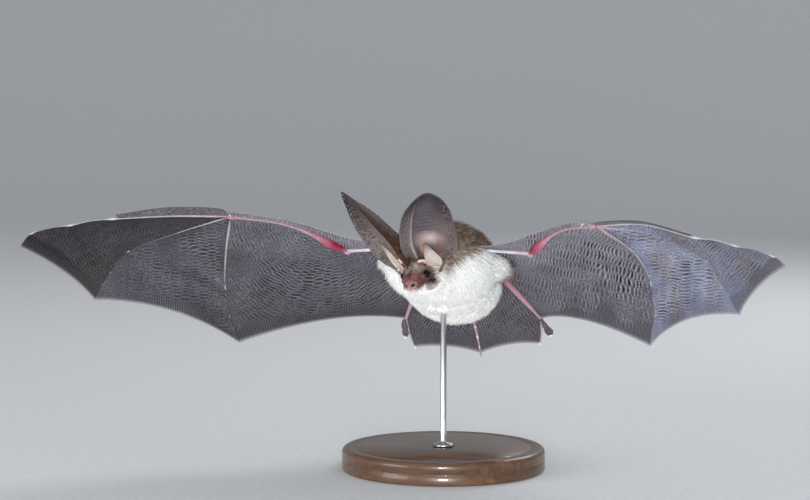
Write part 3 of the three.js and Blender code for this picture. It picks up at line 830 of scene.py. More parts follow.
FOLDS = {
    (1, "arm"): Folds(1.62, 4.1, 90, -0.3, None, (
        Spot((74, -5.5), (20, 6), -14, 1.0), Spot((87, -16), (9, 9), -40, 0.95),
        Spot((62, -22), (18, 9), -8, 0.5), Spot((73, 4), (18, 5), -20, 0.6),
    )),
    (-1, "arm"): Folds(1.6, 5.6, 0, 0.58, (-59.9, 16.7), (
        Spot((-72, -17), (24, 11), 8, 0.8), Spot((-35, -23), (17, 11), -20, 0.6),
        Spot((-80, 2), (13, 6), 25, 0.4),
    )),
    (1, "finger_4_finger_5"): Folds(1.45, 3.9, 0, 0, None, (
        Spot((117, -12), (12, 7), 0, 0.95), Spot((132, 4), (12, 5), -25, 0.35),
    )),
    (-1, "finger_4_finger_5"): Folds(1.6, 4.4, 0, 0, None, (Spot((-117, -4), (11, 9), 0, 0.75),)),
    (1, "finger_3_finger_4"): Folds(1.3, 4.4, 60, 0, None, (Spot((128, 6), (14, 3), -20, 0.4),)),
    (-1, "finger_3_finger_4"): Folds(1.4, 4.4, 115, 0, None, (Spot((-125, 8), (14, 3), 10, 0.35),)),
    (1, "tail"): Folds(1.35, 4.6, 122, 0.2, None, (Spot((34, -38), (22, 13), 0, 0.75),)),
    (-1, "tail"): Folds(1.35, 5.2, 52, -0.2, None, (Spot((4, -41), (18, 11), 0, 0.8),)),
}
SIDEWAYS = (0.936, 0.352, 0.0)
UPWARDS = (-0.024, 0.065, 0.998)


@dataclass
class Membranes:
    """The thin skin of wing and tail on one side, in sheets that run from bone to bone."""

    bones: WingBones
    spacing: float = 0.7
    half: float = 0.13
    flare: float = 0.3
    bead: float = 0.12
    pucker: float = 0.16

    def free_edge(self, a: Array, b: Array, towards: Array, depth: float) -> Field:
        """Give a free edge from a to b that curves in towards a third point."""
        pull = unit(towards - (a + b) / 2)

        def at(s: Array) -> Array:
            """Give the points at shares s of the edge."""
            s = np.asarray(s)[..., None]
            return mix(a, b, s) + pull * depth * 4 * s * (1 - s)

        return at

    def arm_line(self, s: Array) -> Array:
        """Follow the upper arm and then the forearm."""
        b = self.bones
        share = b.skeleton.upper_arm / (b.skeleton.upper_arm + b.skeleton.forearm)
        upper = b.upper_arm.at(np.clip(s / share, 0, 1))
        lower = b.forearm.at(np.clip((s - share) / (1 - share), 0, 1))
        return np.where(np.asarray(s)[..., None] < share, upper, lower)

    def fan(self, a: str, b: str, hollow: float, billow: float, width: float, **look: float) -> Panel:
        """Lay a panel between two fingers.

        Args:
            a: The finger nearer to the wing's front.
            b: The finger behind it.
            hollow: How far the free edge curves in.
            billow: How deep the air swells the panel.
            width: Its width at the free edge.
            **look: Its lines and colours.

        Returns:
            The panel.
        """
        first, last = self.bones.fingers[a], self.bones.fingers[b]
        edge = self.free_edge(first.at(1.0), last.at(1.0), self.bones.wrist, hollow)
        near = between(first.at(0.0), last.at(0.0))
        name = f"{a}_{b}"
        return Panel(
            name, near, edge, first.at, last.at, width, first.length, billow, (first, last),
            FOLDS[self.bones.side, name], **look,
        )

    def panels(self) -> list[Panel]:
        """Lay every panel of this side."""
        b, side = self.bones, self.bones.side
        knuckle = b.joints["finger_3"][1]
        palm = Path([b.over_palm(u, 0.3) for u in (0.02, 0.5, 0.97)])
        second = b.fingers["finger_2"]
        third = Panel(
            "finger_2_palm", between(second.at(0.0), palm.at(0.0)), between(second.at(1.0), knuckle),
            second.at, palm.at, 4, second.length, 0, (second,), lines=0.0, brown=0.9, blue=0.0, tone=0.7,
        )
        fifth = b.fingers["finger_5"]
        flank = Path([b.shoulder, b.skeleton.from_shoulders(side * 15, 20, -12), b.knee, b.ankle])
        rear = self.free_edge(b.ankle, fifth.at(1.0), b.elbow, 7)

        def to_finger(s: Array) -> Array:
            """Follow the arm, and leave it near the wrist for the fifth finger."""
            return mix(self.arm_line(s), fifth.at(0.0), ease((np.asarray(s) - 0.85) / 0.15)[..., None])

        leg = Path([b.knee, b.ankle], straight=True)
        # The right arm web is set darker than the left: painted shade.
        arm = Panel(
            "arm", to_finger, rear, flank.at, fifth.at, 100, 78, 3, (b.upper_arm, b.forearm, fifth, leg),
            FOLDS[side, "arm"], 1.0 if side > 0 else 1.35, tone=1.0 if side > 0 else 0.64,
        )
        inner = [b.skeleton.from_shoulders(side * x, y, z) for x, y, z in ((12, -8, 0), (34, -11, 2.5))]
        outer = [b.forearm.at(0.5) + [0, -4, 3], b.wrist + [-side * 3, -2.6, 2.4]]
        front_edge = Path([*inner, b.elbow + [0, -12, 8.5], *outer])
        front = Panel(
            "front", self.arm_line, front_edge.at,
            between(b.shoulder, front_edge.at(0.0)), between(b.wrist, front_edge.at(1.0)),
            95, 13, 0.8, (b.upper_arm, b.forearm), lines=0.0, brown=0.4, tone=1.15,
        )
        tail = b.skeleton.tail_path()
        shank = Path([b.knee, b.ankle, b.calcar_tip])
        edge = self.free_edge(tail.at(0.95), b.calcar_tip, b.knee, 2.2)
        tail_panel = Panel(
            "tail", between(tail.at(0.0), b.knee), edge, lambda t: tail.at(0.95 * t), shank.at,
            34, 42, 2, (tail, shank), FOLDS[side, "tail"], 1.3, 0.35, 0.6, 0.2, 0.45,
        )
        # The left wing's outer panels get the painted bluish sheen and are set lighter; the right wing's are
        # set much darker: painted light and shade.
        outer, middle = (
            ({"brown": 0.1, "blue": 1.3, "tone": 0.85}, {"brown": 0.1, "blue": 1.5, "tone": 1.25})
            if side > 0
            else ({"brown": 1.0, "blue": 0.0, "tone": 0.22}, {"brown": 0.45, "blue": 0.35, "tone": 0.5})
        )
        return [
            third,
            self.fan("finger_3", "finger_4", 3.2, 2.5, 40, lines=1.0, **outer),
            self.fan("finger_4", "finger_5", 6.5, 4, 60, lines=0.7, **middle),
            arm,
            front,
            tail_panel,
        ]

    def shell(self, panel: Panel) -> Shell:
        """Make one panel's sheet with its creases and masks.

        Args:
            panel: The panel.

        Returns:
            The closed sheet.
        """
        rows = max(int(panel.width / self.spacing), 6)
        columns = max(int(panel.depth / self.spacing), 14)
        s = np.linspace(0, 1, rows + 1)
        s = mix(s, 0.5 - 0.5 * np.cos(math.pi * s), 0.3)
        t = np.linspace(0, 1, columns + 1)
        grid = self.patch(panel, s, t)
        normal = unit(np.cross(np.gradient(grid, axis=0), np.gradient(grid, axis=1)))
        normal *= np.sign((normal[..., 1] + normal[..., 2]).mean()) or 1.0
        ss, tt = np.meshgrid(s, t, indexing="ij")
        swell = np.sin(math.pi * ss) ** 1.2 * np.sin(math.pi * np.minimum(tt * 0.8 + 0.1, 1))
        grid = grid + normal * (panel.billow * swell)[..., None]
        space = np.min([self.distance(grid, bone) for bone in panel.bones], axis=0)
        across, down = ss * panel.width, tt * panel.depth
        local = grid - np.array(self.bones.skeleton.shoulders)
        flat = [local @ np.array(axis) for axis in (SIDEWAYS, UPWARDS)]
        beside, before = panel.folds.weave(*flat)
        beside = beside + 0.28 * rough(grid, 11, 5)
        before = before + 0.16 * rough(grid, 7, 6)
        out = (1 - tt) * panel.depth
        edge_lines = ease((12.0 + 3 * rough(grid, 20, 7) - out) / 10.0) if panel.lines else 0 * out
        inner = ease((space - 0.6) / 3.0) * (1 - 0.8 * edge_lines)
        strength = panel.folds.strength(*flat) * np.clip(0.85 + 0.3 * rough(grid, 17, 8), 0.3, 1)
        strength = np.maximum(strength, np.clip(0.34 + 0.24 * rough(grid, 15, 12), 0.08, 0.7)) * inner
        rise = -np.cos(2 * math.pi * before) * strength * self.pucker
        rise += 0.06 * edge_lines * np.sin(2 * math.pi * across / 2.1 + rough(grid, 8, 9))
        grid = grid + normal * rise[..., None]
        bead = self.bead * np.exp(-((out / 0.6) ** 2))
        half = self.half + self.flare * np.exp(-np.maximum(space - 0.4, 0) / 0.6) + bead
        half *= np.where(out < 0.2, 0.45, 1.0)
        # The arm web grows darker towards the bottom.
        low = (self.bones.shoulder[2] - grid[..., 2]) * (panel.name == "arm")
        fade = np.clip(1.15 - 0.0135 * low, 0.55, 1.2)
        masks = {
            "weave": np.stack([beside, before, strength], -1),
            "lines": np.stack([across / panel.line_pitch, edge_lines * panel.lines, down], -1),
            "bone": np.clip(
                np.exp(-space / 3.2) + panel.brown * ease(0.6 + 0.8 * rough(grid, 30, 10)), 0, 1
            ),
            # Painted sheen: patches of bluish reflection.
            "blue": np.clip(panel.blue * ease(0.8 + 0.7 * rough(grid, 24, 11)), 0, 1),
            "rim": np.exp(-((out / 1.0) ** 2)) * (panel.name != "finger_2_palm"),
            # Painted light and shade by panel, darker towards the bottom of the arm web, varied at random.
            "tone": panel.tone * fade * (1 + 0.12 * rough(grid, 22, 13)),
        }
        return sheet(grid, half, masks, Finish.WING)

    @staticmethod
    def patch(panel: Panel, s: Array, t: Array) -> Array:
        """Fill the panel's four edges with a grid."""
        sc, tc = s[:, None, None], t[None, :, None]
        near, far, first, last = panel.near(s), panel.far(s), panel.first(t), panel.last(t)
        grid = near[:, None] * (1 - tc) + far[:, None] * tc + first[None] * (1 - sc) + last[None] * sc
        corners = near[0] * (1 - sc) * (1 - tc) + near[-1] * sc * (1 - tc)
        return grid - corners - far[0] * (1 - sc) * tc - far[-1] * sc * tc

    @staticmethod
    def distance(grid: Array, bone: Path) -> Array:
        """Measure how far grid points are from a bone's middle."""
        line = bone.at(np.linspace(0, 1, 90))
        flat = grid.reshape(-1, 3)
        near = np.sqrt(((flat[:, None] - line[None]) ** 2).sum(-1).min(1))
        return near.reshape(grid.shape[:2])

    def shells(self) -> list[Shell]:
        """Make every panel of this side."""
        return [self.shell(p) for p in self.panels()]


# ---- body and head


def over_ball(directions: Array) -> Array:
    """Unfold directions onto the unit square, octant by octant.

    Args:
        directions: Unit vectors.

    Returns:
        One (u, v) for each, from 0 to 1.
    """
    flat = directions / np.abs(directions).sum(-1, keepdims=True)
    x, y, z = flat[..., 0], flat[..., 1], flat[..., 2]
    fold_x = np.where(z < 0, (1 - np.abs(y)) * np.where(x < 0, -1, 1), x)
    fold_y = np.where(z < 0, (1 - np.abs(x)) * np.where(y < 0, -1, 1), y)
    return np.stack([fold_x, fold_y], -1) * 0.48 + 0.5


@dataclass
class Markings:
    """Where the coat is tan, white or dark. Skin and tufts read the same masks."""

    skeleton: Skeleton
    head: Head

    def masks(self, points: Array) -> Masks:
        """Give the markings at places.

        Args:
            points: Places, in mm.

        Returns:
            The masks "tan", "cream", "crown", "dark" and "nose".
        """
        x, y, z = (points - np.array(self.skeleton.shoulders)).T
        edge = 1.3 * rough(points, 9, 21) + 0.6 * rough(points, 3, 22)
        back = 1.0 - 0.62 * np.maximum(y + 2, 0) - 0.4 * np.maximum(np.abs(x) - 14, 0) * ease((y - 2) / 6)
        throat = np.clip(-8.5 + 0.8 * (np.abs(x) - 6.0), -8.5, 1.0)
        tan = ease((z - mix(throat, back, ease((y + 3) / 6)) + edge) / 4.0 + 0.5)
        local = self.head.to_head(points)
        _, hy, hz = local.T
        near_head = ease((10.5 - np.linalg.norm((local - [0, -3.5, -1.6]) * [1, 0.8, 1], axis=1)) / 4 + 0.6)
        crown = ease((hz - 1.6 + 0.4 * edge) / 2.6)
        muzzle = ease((-3.6 - hy) / 3.0) * ease((hz + 5.2 + 0.2 * edge) / 1.4)
        dark = np.zeros(len(points))
        around = np.zeros(len(points))
        for side in (1, -1):
            eye = self.head.eye_place(side)
            gap = np.linalg.norm((local - eye - [0, 0.3, -1.3]) / [1.5, 1.15, 1.3], axis=1)
            dark = np.maximum(dark, ease((3.2 + 0.3 * edge - gap) / 1.8))
            around = np.maximum(around, ease((4.9 + 0.5 * edge - gap) / 3.0))
        tan = mix(tan, np.maximum.reduce([crown, muzzle, around]), near_head)
        nose = ease((-6.6 - hy) / 3.2) * ease((hz + 6.2) / 1.5) * near_head
        cream = ease((11.0 + edge - np.linalg.norm([x - 14, (y + 17) * 0.7, z + 6.5], axis=0)) / 7)
        brow = np.linalg.norm((local - [-0.5, -7.5, 3.6]) / [3.4, 2.6, 3.0], axis=1)
        cream = np.maximum(cream, 0.4 * ease((1.5 - brow) / 0.8) * near_head)
        return {"tan": tan, "cream": cream, "crown": near_head, "dark": dark * near_head, "nose": nose}


# How high each bump of the face is, where it is (from the nostril, or in the head's frame) and its size.
NOSTRIL_BUMPS = (
    (0.55, (0.1, 0.4, 0.6), (1.5, 2.0, 1.2)),
    (0.4, (1.25, 0.8, -0.1), (0.55, 1.8, 1.1)),
    (-1.5, (0.05, 0, -0.15), (0.62, 1.8, 0.6)),
    (-0.8, (0.6, 0.6, 0.45), (0.4, 1.3, 0.45)),
)
FACE_BUMPS = (
    (-0.6, (0, -14, -2.0), (0.42, 2.8, 2.2)),
    (-0.35, (0.9, -13, -4.0), (0.35, 2.5, 0.7)),
    (0.45, (2.3, -11.4, -4.3), (1.5, 2.2, 0.9)),
    (0.8, (3.9, -8.6, -0.9), (1.5, 1.9, 1.3)),
    (-0.7, (3.3, -6.2, 0.9), (1.8, 0.5, 1.8)),
    (-0.35, (0, -8.5, 2.6), (0.8, 2.6, 1.5)),
    (0.5, (2.0, -4.5, 4.6), (1.6, 2.4, 1.2)),
)


def mound(points: Array, at: Array, size: Array) -> Array:
    """Give the height of a rounded mound of height one at places."""
    return np.exp(-((((points - at) / size) ** 2).sum(1)))


@dataclass
class Head:
    """The head: its shape, its face and the places of eyes and ears."""

    skeleton: Skeleton
    pitch: float = 8
    roll: float = -8
    yaw: float = -2.5
    centre: Triple = (-0.75, -24.5, -11.5)
    inside: Triple = (0, -3.2, -1.8)
    eye_radius: float = 1.65
    eye_at: Triple = (5.9, -4.4, 0.5)
    ear_at: Triple = (6.2, 3.6, 3.4)
    nostril: Triple = (1.7, -13.6, -2.6)
    fineness: int = 7

    def __post_init__(self) -> None:
        """Work out the head's turn and shape."""
        (cp, sp), (cr, sr), (cy, sy) = (turning(a) for a in (self.pitch, self.roll, self.yaw))
        turn_x = np.array([[1, 0, 0], [0, cp, -sp], [0, sp, cp]])
        turn_y = np.array([[cr, 0, sr], [0, 1, 0], [-sr, 0, cr]])
        turn_z = np.array([[cy, -sy, 0], [sy, cy, 0], [0, 0, 1]])
        self.turn = turn_z @ turn_x @ turn_y
        self.origin = np.array(self.centre) + np.array(self.skeleton.shoulders)
        cheeks = tuple(Blob((s * 3.4, 0, -3), (6, 6.6, 5.2)) for s in (1, -1))
        middle = (
            Blob((0, 1.5, 0.6), (8.8, 9.6, 7.8)),
            Blob((0, -4.5, -1.6), (5.6, 9.4, 4.9), 6),
            Blob((0, -6.4, -2.6), (4.0, 8.0, 3.0), 4),
            Blob((0, -3, -4.2), (4.4, 8.2, 3.4), -14),
            Blob((0, -7.4, -5.0), (3.3, 4.9, 2.5)),
        )
        self.shape = Rounded(self.inside, (*middle, *cheeks))

    def place(self, local: Array) -> Array:
        """Bring points from the head's frame into the model's."""
        return local @ self.turn.T + self.origin

    def to_head(self, points: Array) -> Array:
        """Bring points from the model's frame into the head's."""
        return (points - self.origin) @ self.turn

    def eye_place(self, side: int) -> Array:
        """Give the middle of an eye, in the head's frame."""
        return np.array(self.eye_at) * [side, 1, 1]

    def eye_axis(self, side: int) -> Array:
        """Give the way an eye looks, in the head's frame."""
        return unit(np.array([side * 0.8, -0.56, 0.2]))

    def coat_depth(self, local: Array) -> Array:
        """Give the coat's depth over the face and the crown."""
        return mix(0.3, 2.3, ease((local[:, 1] + 8.5) / 10))

    def surface(self) -> tuple[Array, Array]:
        """Make the bare head in its own frame.

        Returns:
            Its points and its triangles.
        """
        directions, triangles = ball(self.fineness)
        directions = unit(directions + np.array([0, -0.35, 0]))
        outer = np.array(self.inside) + directions * self.shape.radius(directions)[:, None]
        points = outer - directions * self.coat_depth(outer)[:, None]
        points = points + normals_of(points, triangles) * self.relief(points)[:, None]
        for side in (1, -1):
            points = self.set_eye(points, side)
        return points, triangles

    def relief(self, p: Array) -> Array:
        """Raise and sink the face: nose pad, nostrils, lips, glands and brow.

        Args:
            p: Points in the head's frame.

        Returns:
            How far each point moves out.
        """
        x, y, z = np.abs(p[:, 0]), p[:, 1], p[:, 2]
        folded = np.stack([x, y, z], 1)
        moved = np.zeros(len(p))
        near = [(height, np.add(self.nostril, away), size) for height, away, size in NOSTRIL_BUMPS]
        for height, at, size in (*near, *FACE_BUMPS):
            moved += height * mound(folded, at, size)
        mouth_z = -5.35 - 0.02 * (y + 13) + 0.06 * np.maximum(x - 1.8, 0) ** 1.5
        along = ease((-4.6 - y) / 1.5)
        for height, above, width in ((-0.9, 0.0, 0.28), (0.4, -0.8, 0.5), (0.3, 0.7, 0.45)):
            moved += height * np.exp(-(((z - mouth_z - above) / width) ** 2)) * along
        wrinkle = np.sin(2 * math.pi * (z + 0.35 * y + 0.4 * rough(p, 3, 31)) / 0.8)
        moved += 0.07 * wrinkle * mound(folded, (3.6, -8.8, -1.4), (2.0, 2.8, 2.2))
        return moved + 0.045 * rough(p, 0.9, 32) * ease((-5.0 - y) / 3)

    def set_eye(self, points: Array, side: int) -> Array:
        """Sink the socket under the eyeball and wrap the lids round it.

        Args:
            points: Points in the head's frame.
            side: 1 for the left eye, -1 for the right.

        Returns:
            The points with that eye's socket and lids.
        """
        eye, axis = self.eye_place(side), self.eye_axis(side)
        away = points - eye
        far = np.linalg.norm(away, axis=1)
        heading = away / far[:, None]
        angle = np.degrees(np.arccos(np.clip(heading @ axis, -1, 1)))
        r = self.eye_radius
        lid = mix(r * 0.72, r + 0.3, ease((angle - 61) / 9))
        lid = mix(lid, r + 0.1, ease((angle - 72) / 12) * 0.8)
        new = mix(lid, np.maximum(far, r * 0.72), ease((angle - 84) / 42))
        near = (far < 5.5) & (heading @ axis > -0.7)
        return np.where(near[:, None], eye + heading * new[:, None], points)

    def shell(self, markings: Markings) -> Shell:
        """Make the bare head with its masks."""
        points, triangles = self.surface()
        world = self.place(points)
        masks = markings.masks(world)
        x, y, z = np.abs(points[:, 0]), points[:, 1], points[:, 2]
        nx, ny, nz = self.nostril
        slant = z - nz - 0.2 * (x - nx)
        gap = np.sqrt(((x - nx) / 0.75) ** 2 + (slant / 0.65) ** 2 + ((y - ny) / 2.4) ** 2)
        # Painted shade in the nostril openings.
        masks["nostril"] = ease((1.75 - gap) / 0.8)
        masks["rosy"] = ease((-9.8 - y) / 1.8) * ease((4.6 - x) / 1.2)
        masks["rosy"] = masks["rosy"] * ease((z + 5.4) / 0.8) * ease((1.4 - z) / 1.6)
        masks["ring"] = bell(gap, 2.2, 0.5) * ease((-10 - y) / 2) * ease((x - 1.4) / 0.9)
        masks["lip"] = ease((-5.5 - y) / 3) * np.exp(-(((z + 6.2 + 0.02 * (y + 13)) / 1.8) ** 4))
        masks["socket"] = np.zeros(len(points))
        for side in (1, -1):
            far = np.linalg.norm(points - self.eye_place(side), axis=1)
            masks["socket"] = np.maximum(masks["socket"], ease((2.5 - far) / 0.6))
        masks["fold"] = np.exp(-(((x - 3.6) / 1.4) ** 2 + ((y + 6.4) / 1.3) ** 2 + ((z - 0.6) / 1.8) ** 2))
        return Shell(world, tris=triangles, masks=masks, finish=Finish.FACE)

    def eyes(self) -> list[Shell]:
        """Make the two wet, dark eyes, each with a raised cornea."""
        made = []
        directions, triangles = ball(5)
        for side in (1, -1):
            low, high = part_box("eye_left" if side > 0 else "eye_right")
            middle = np.array((low + high) / 2) / MM
            axis = self.turn @ self.eye_axis(side)
            facing = directions @ axis
            cornea = 0.1 * ease((facing - 0.35) / 0.6)
            points = middle + directions * (self.eye_radius - 0.04 + cornea)[:, None]
            made.append(Shell(points, tris=triangles, masks={}))
        return made


@dataclass
class Body:
    """The trunk and neck: the bare skin under the coat, and the coat's outer form."""

    skeleton: Skeleton
    trunk_depth: float = 5.5
    neck_depth: float = 4.2

    def __post_init__(self) -> None:
        """Shape the trunk and the neck."""

        def place(x: float, y: float, z: float) -> Triple:
            """Give a place from the shoulders."""
            return tuple(self.skeleton.from_shoulders(x, y, z))

        pits = tuple(Blob(place(s * 12, 8, -7), (23.5, 14, 9), -25) for s in (1, -1))
        chest = Blob(place(0, 4, -7), (30, 22, 20.5), -26)
        belly = Blob(place(0, 11.2, -13.3), (27.5, 20, 20.5), -32)
        rump = Blob(place(0, 18, -18), (26, 24, 19), -36)
        self.trunk = Rounded(place(0, 14, -13), (chest, belly, rump, *pits))
        self.neck = Rounded(
            place(-0.6, -12, -9),
            (Blob(place(-0.8, -13, -9), (12.5, 11, 12.5), -10), Blob(place(0, -7, -8), (17, 10, 14.5), -20)),
        )

    def bare(self, form: Rounded, depth: float, fineness: int) -> tuple[Array, Array]:
        """Make the skin of a body part, the coat's depth inside its outer form."""
        directions, triangles = ball(fineness)
        reach = form.radius(directions) - depth
        return np.array(form.centre) + directions * reach[:, None], triangles

    def shells(self, markings: Markings) -> list[Shell]:
        """Make the bare trunk, neck and tail."""
        made = []
        for form, depth in ((self.trunk, self.trunk_depth), (self.neck, self.neck_depth)):
            points, triangles = self.bare(form, depth, 6)
            points = points + unit(points - form.centre) * (0.25 * rough(points, 6, 41))[:, None]
            made.append(Shell(points, tris=triangles, masks=markings.masks(points), finish=Finish.FACE))
        tail = tube(
            self.skeleton.tail_path(),
            lambda u: mix(1.35, 0.45, u) * np.sqrt(np.minimum(1, 0.4 + 14 * (1 - u))), 90, 12,
            lambda u: {"pink": 0.55 - 0.15 * u, "pale": 0.5 * (np.cos(u * 50) > 0.7)},
        )
        return [*made, tail]


# ---- ears


@dataclass
class Ear:
    """One large ear with its ribs, its folded inner band, its tragus and its basal lobe."""

    head: Head
    side: int
    tip: Triple
    opening: Triple
    length: float = 46.5
    width: float = 27
    widest: float = 0.33
    cup: float = 9
    deep: float = 0.8
    fold: float = 2.6
    blunt: float = 0.5
    taper: float = 2.3
    shift: float = 1.2
    wall_foot: float = 1.2
    wall_tip: float = 0.42
    rows: int = 110
    columns: int = 190
    sunk: float = 0.1
    band: float = 0.52

    def __post_init__(self) -> None:
        """Work out which way the ear stands."""
        self.up = unit(np.array(self.tip, float))
        front = np.array(self.opening, float)
        self.front = unit(front - self.up * (front @ self.up))
        self.inward = unit(np.cross(self.up, self.front) * -self.side)
        self.base = self.head.place(np.array(self.head.ear_at) * [self.side, 1, 1])

    def half_width(self, h: Array) -> Array:
        """Give half the ear's width at a share of its length."""
        above = np.clip((h - self.widest) / (1 - self.widest), 0, 1)
        top = np.maximum(1 - above**self.taper, 0) ** self.blunt
        low = mix(0.74, 1, ease(h / self.widest)) * mix(1, 0.45, ease(-h / self.sunk))
        return np.maximum(0.5 * self.width * np.where(h > self.widest, top, low), 0.3)

    def point(self, v: Array, h: Array) -> Array:
        """Give a point of the ear's wall.

        Args:
            v: From -1 at the outer edge to 1 at the inner.
            h: From 0 at the base to 1 at the tip.

        Returns:
            The points, in mm.
        """
        half = self.half_width(h)
        turn = mix(1.5, 1.1, ease(h / 0.6))
        foot = np.where(v < 0, mix(0.4, 1, ease(h / 0.3)), 1.0)
        cup = np.minimum(self.cup * mix(1, 0.6, h), half * self.deep) * mix(1, 0.45, ease((h - 0.55) / 0.4))
        depth = cup * (np.cos(v * turn) - np.cos(turn)) / (1 - np.cos(turn))
        sideways = foot * half * np.sin(v * turn) / np.sin(turn) + self.shift * np.sin(math.pi * h)
        forward = cup / 2 - depth
        window = ease(h / 0.12) * ease((0.93 - h) / 0.3)
        folded = np.clip((v - self.band) / (1 - self.band), 0, 1)
        forward = forward - self.fold * folded**1.2 * window + 0.5 * bell(v, self.band, 0.08) * window
        forward = forward - 0.09 * self.ribs(v, h)
        forward = forward - 0.35 * bell(v, -1.0, 0.12) * window
        raised = self.base + self.up * (h * self.length)[..., None]
        return raised + self.inward * sideways[..., None] + self.front * forward[..., None]

    def ribs(self, v: Array, h: Array) -> Array:
        """Give the height of the fine ribs across the hollow."""
        wave = np.cos(2 * math.pi * (h * 19 - 1.2 * (v - 0.1) ** 2))
        return wave * bell(v, 0.08, 0.33) * ease((h - 0.3) / 0.12) * ease((0.8 - h) / 0.12)

    def wall(self) -> Shell:
        """Make the ear's wall, hollow side first."""
        v = np.linspace(-1, 1, self.rows)
        t = np.linspace(0, 1, self.columns)
        h = mix(-self.sunk, 0.995, np.sin(math.pi / 2 * t) ** 0.95)
        vv, hh = np.meshgrid(v, h, indexing="ij")
        grid = self.point(vv, hh)
        rim = np.exp(-((1 - np.abs(vv)) / 0.035)) + np.exp(-((1 - hh) / 0.012))
        half = mix(self.wall_foot, self.wall_tip, ease((hh + 0.1) * 1.6)) / 2
        half = half * (1 - 0.35 * np.clip(rim, 0, 1))
        half = half + 0.28 * bell(vv, self.band, 0.05) * ease((0.9 - hh) / 0.2)
        # A painted highlight along the crest of the folded band.
        ridge = bell(vv, self.band - 0.02, 0.028) * ease((0.9 - hh) / 0.3)
        speckle = ease((-0.42 - vv) / 0.3) + 0.6 * ease((vv - self.band) / 0.1)
        masks = {
            "ear": np.stack([vv, hh, np.full_like(vv, 1.0)], -1),
            "rim": np.clip(rim, 0, 1),
            "ridge": ridge * mix(1, 0.5, ease(hh / 0.6)),
            # The violet middle of the hollow, lighter than the sides above: partly its own colour, partly a
            # painted highlight.
            "middle": bell(vv, 0.12, 0.4) * ease((0.97 - hh) / 0.2),
            "speckle": speckle + 0.5 * ease((hh - 0.78) / 0.2),
            "pink": bell(vv, 0.0, 0.3) * bell(hh, 0.3, 0.085),
            "gap": bell(vv, -0.66, 0.1) * bell(hh, 0.06, 0.07) + bell(vv, 0.24, 0.06) * bell(hh, 0.17, 0.09),
            "deep": bell(vv - 1.2 * (hh - 0.2), -0.3, 0.06) * bell(hh, 0.19, 0.05),
            # Painted shade in the grooves between the ribs.
            "rib": self.ribs(vv, hh),
        }
        made = sheet(grid, half, masks, Finish.EAR)
        normal = np.cross(grid[1, 0] - grid[0, 0], grid[0, 1] - grid[0, 0])
        if normal @ self.front < 0:
            made.masks["back"] = 1 - made.masks["back"]
        return made

    def tragus(self) -> Shell:
        """Make the tragus, the pale lobe in front of the ear's opening, broad below and narrow above."""
        foot = self.base + self.front * 2.4
        s = np.linspace(-1, 1, 40)
        t = 1 - (1 - np.linspace(0, 1, 80)) ** 1.5
        vv, tt = np.meshgrid(s, t, indexing="ij")
        stops = (0.0, 0.19, 0.41, 0.58, 0.83, 0.95, 1.0)
        middle = np.interp(tt, stops, (-0.4, -1.0, -0.5, 0.4, 2.0, 2.4, 2.5))
        half = np.interp(tt, stops, (2.4, 3.7, 4.0, 3.1, 1.85, 1.2, 0.25))
        grid = foot + self.up * (tt * 18.2 - 0.8)[..., None]
        grid = grid + self.inward * (middle + vv * half)[..., None]
        swell = 0.5 * bell(vv, 0.1, 0.4) * (1 - tt)
        grid = grid + self.front * (0.9 * vv**2 + 0.4 * tt + swell)[..., None]
        thick = 0.42 - 0.2 * tt - 0.12 * np.abs(vv) ** 3
        masks = {"tragus": np.ones_like(tt), "tip": tt, "rim": np.abs(vv) ** 6}
        return sheet(grid, thick, masks, Finish.EAR)

    def lobe(self) -> list[Shell]:
        """Make the pink lobe at the foot of the inner edge and the fold at that of the outer."""
        directions, triangles = ball(4)
        made = []
        axes = np.stack([self.inward, self.front, self.up])
        lumps = ((-1.6, 4.2, 2.4, (1.3, 0.9, 0.8)), (5.0, 3.0, 5.4, (2.3, 0.9, 1.5)))
        for along, forward, height, size in lumps:
            middle = self.base + self.inward * along + self.front * forward + self.up * height
            points = middle + (directions * np.array(size)) @ axes
            ring = np.hypot(directions[:, 0], directions[:, 2])
            masks = {"lobe": np.ones(len(points)), "pit": ease((0.62 - ring) / 0.3) * (directions[:, 1] > 0)}
            made.append(Shell(points, tris=triangles, masks=masks, finish=Finish.EAR))
        return made

    def shells(self) -> list[Shell]:
        """Make the whole ear."""
        return [self.wall(), self.tragus(), *self.lobe()]


# ---- coat


@dataclass
class Roots:
    """Where tufts grow and how each lies; lengths are in mm."""

    points: Array
    normals: Array
    flow: Array
    length: Array
    rise: Array
    width: Array
    uv: Array
    masks: Masks

    def chosen(self, keep: Array) -> Roots:
        """Give only some of the roots."""
        masks = {k: m[keep] for k, m in self.masks.items()}
        rows = (getattr(self, f.name)[keep] for f in fields(self)[:-1])
        return Roots(*rows, masks)


def scatter(
    points: Array, triangles: Array, count: int, seed: int, weight: Field | None = None
) -> tuple[Array, Array]:
    """Spread roots evenly over a surface.

    Args:
        points: The surface's points.
        triangles: Its triangles.
        count: How many roots.
        seed: The random seed.
        weight: How dense they are at a place, if not even.

    Returns:
        The roots and the surface's normals there.
    """
    rng = np.random.default_rng(seed)
    corners = points[triangles]
    area = np.linalg.norm(np.cross(corners[:, 1] - corners[:, 0], corners[:, 2] - corners[:, 0]), axis=1)
    if weight is not None:
        area = area * weight(corners.mean(1))
    picked = rng.choice(len(triangles), count, p=area / area.sum())
    a, b = rng.random((2, count))
    a, b = np.where(a + b > 1, 1 - a, a), np.where(a + b > 1, 1 - b, b)
    share = np.stack([1 - a - b, a, b], 1)[..., None]
    normals = normals_of(points, triangles)
    return (corners[picked] * share).sum(1), unit((normals[triangles[picked]] * share).sum(1))


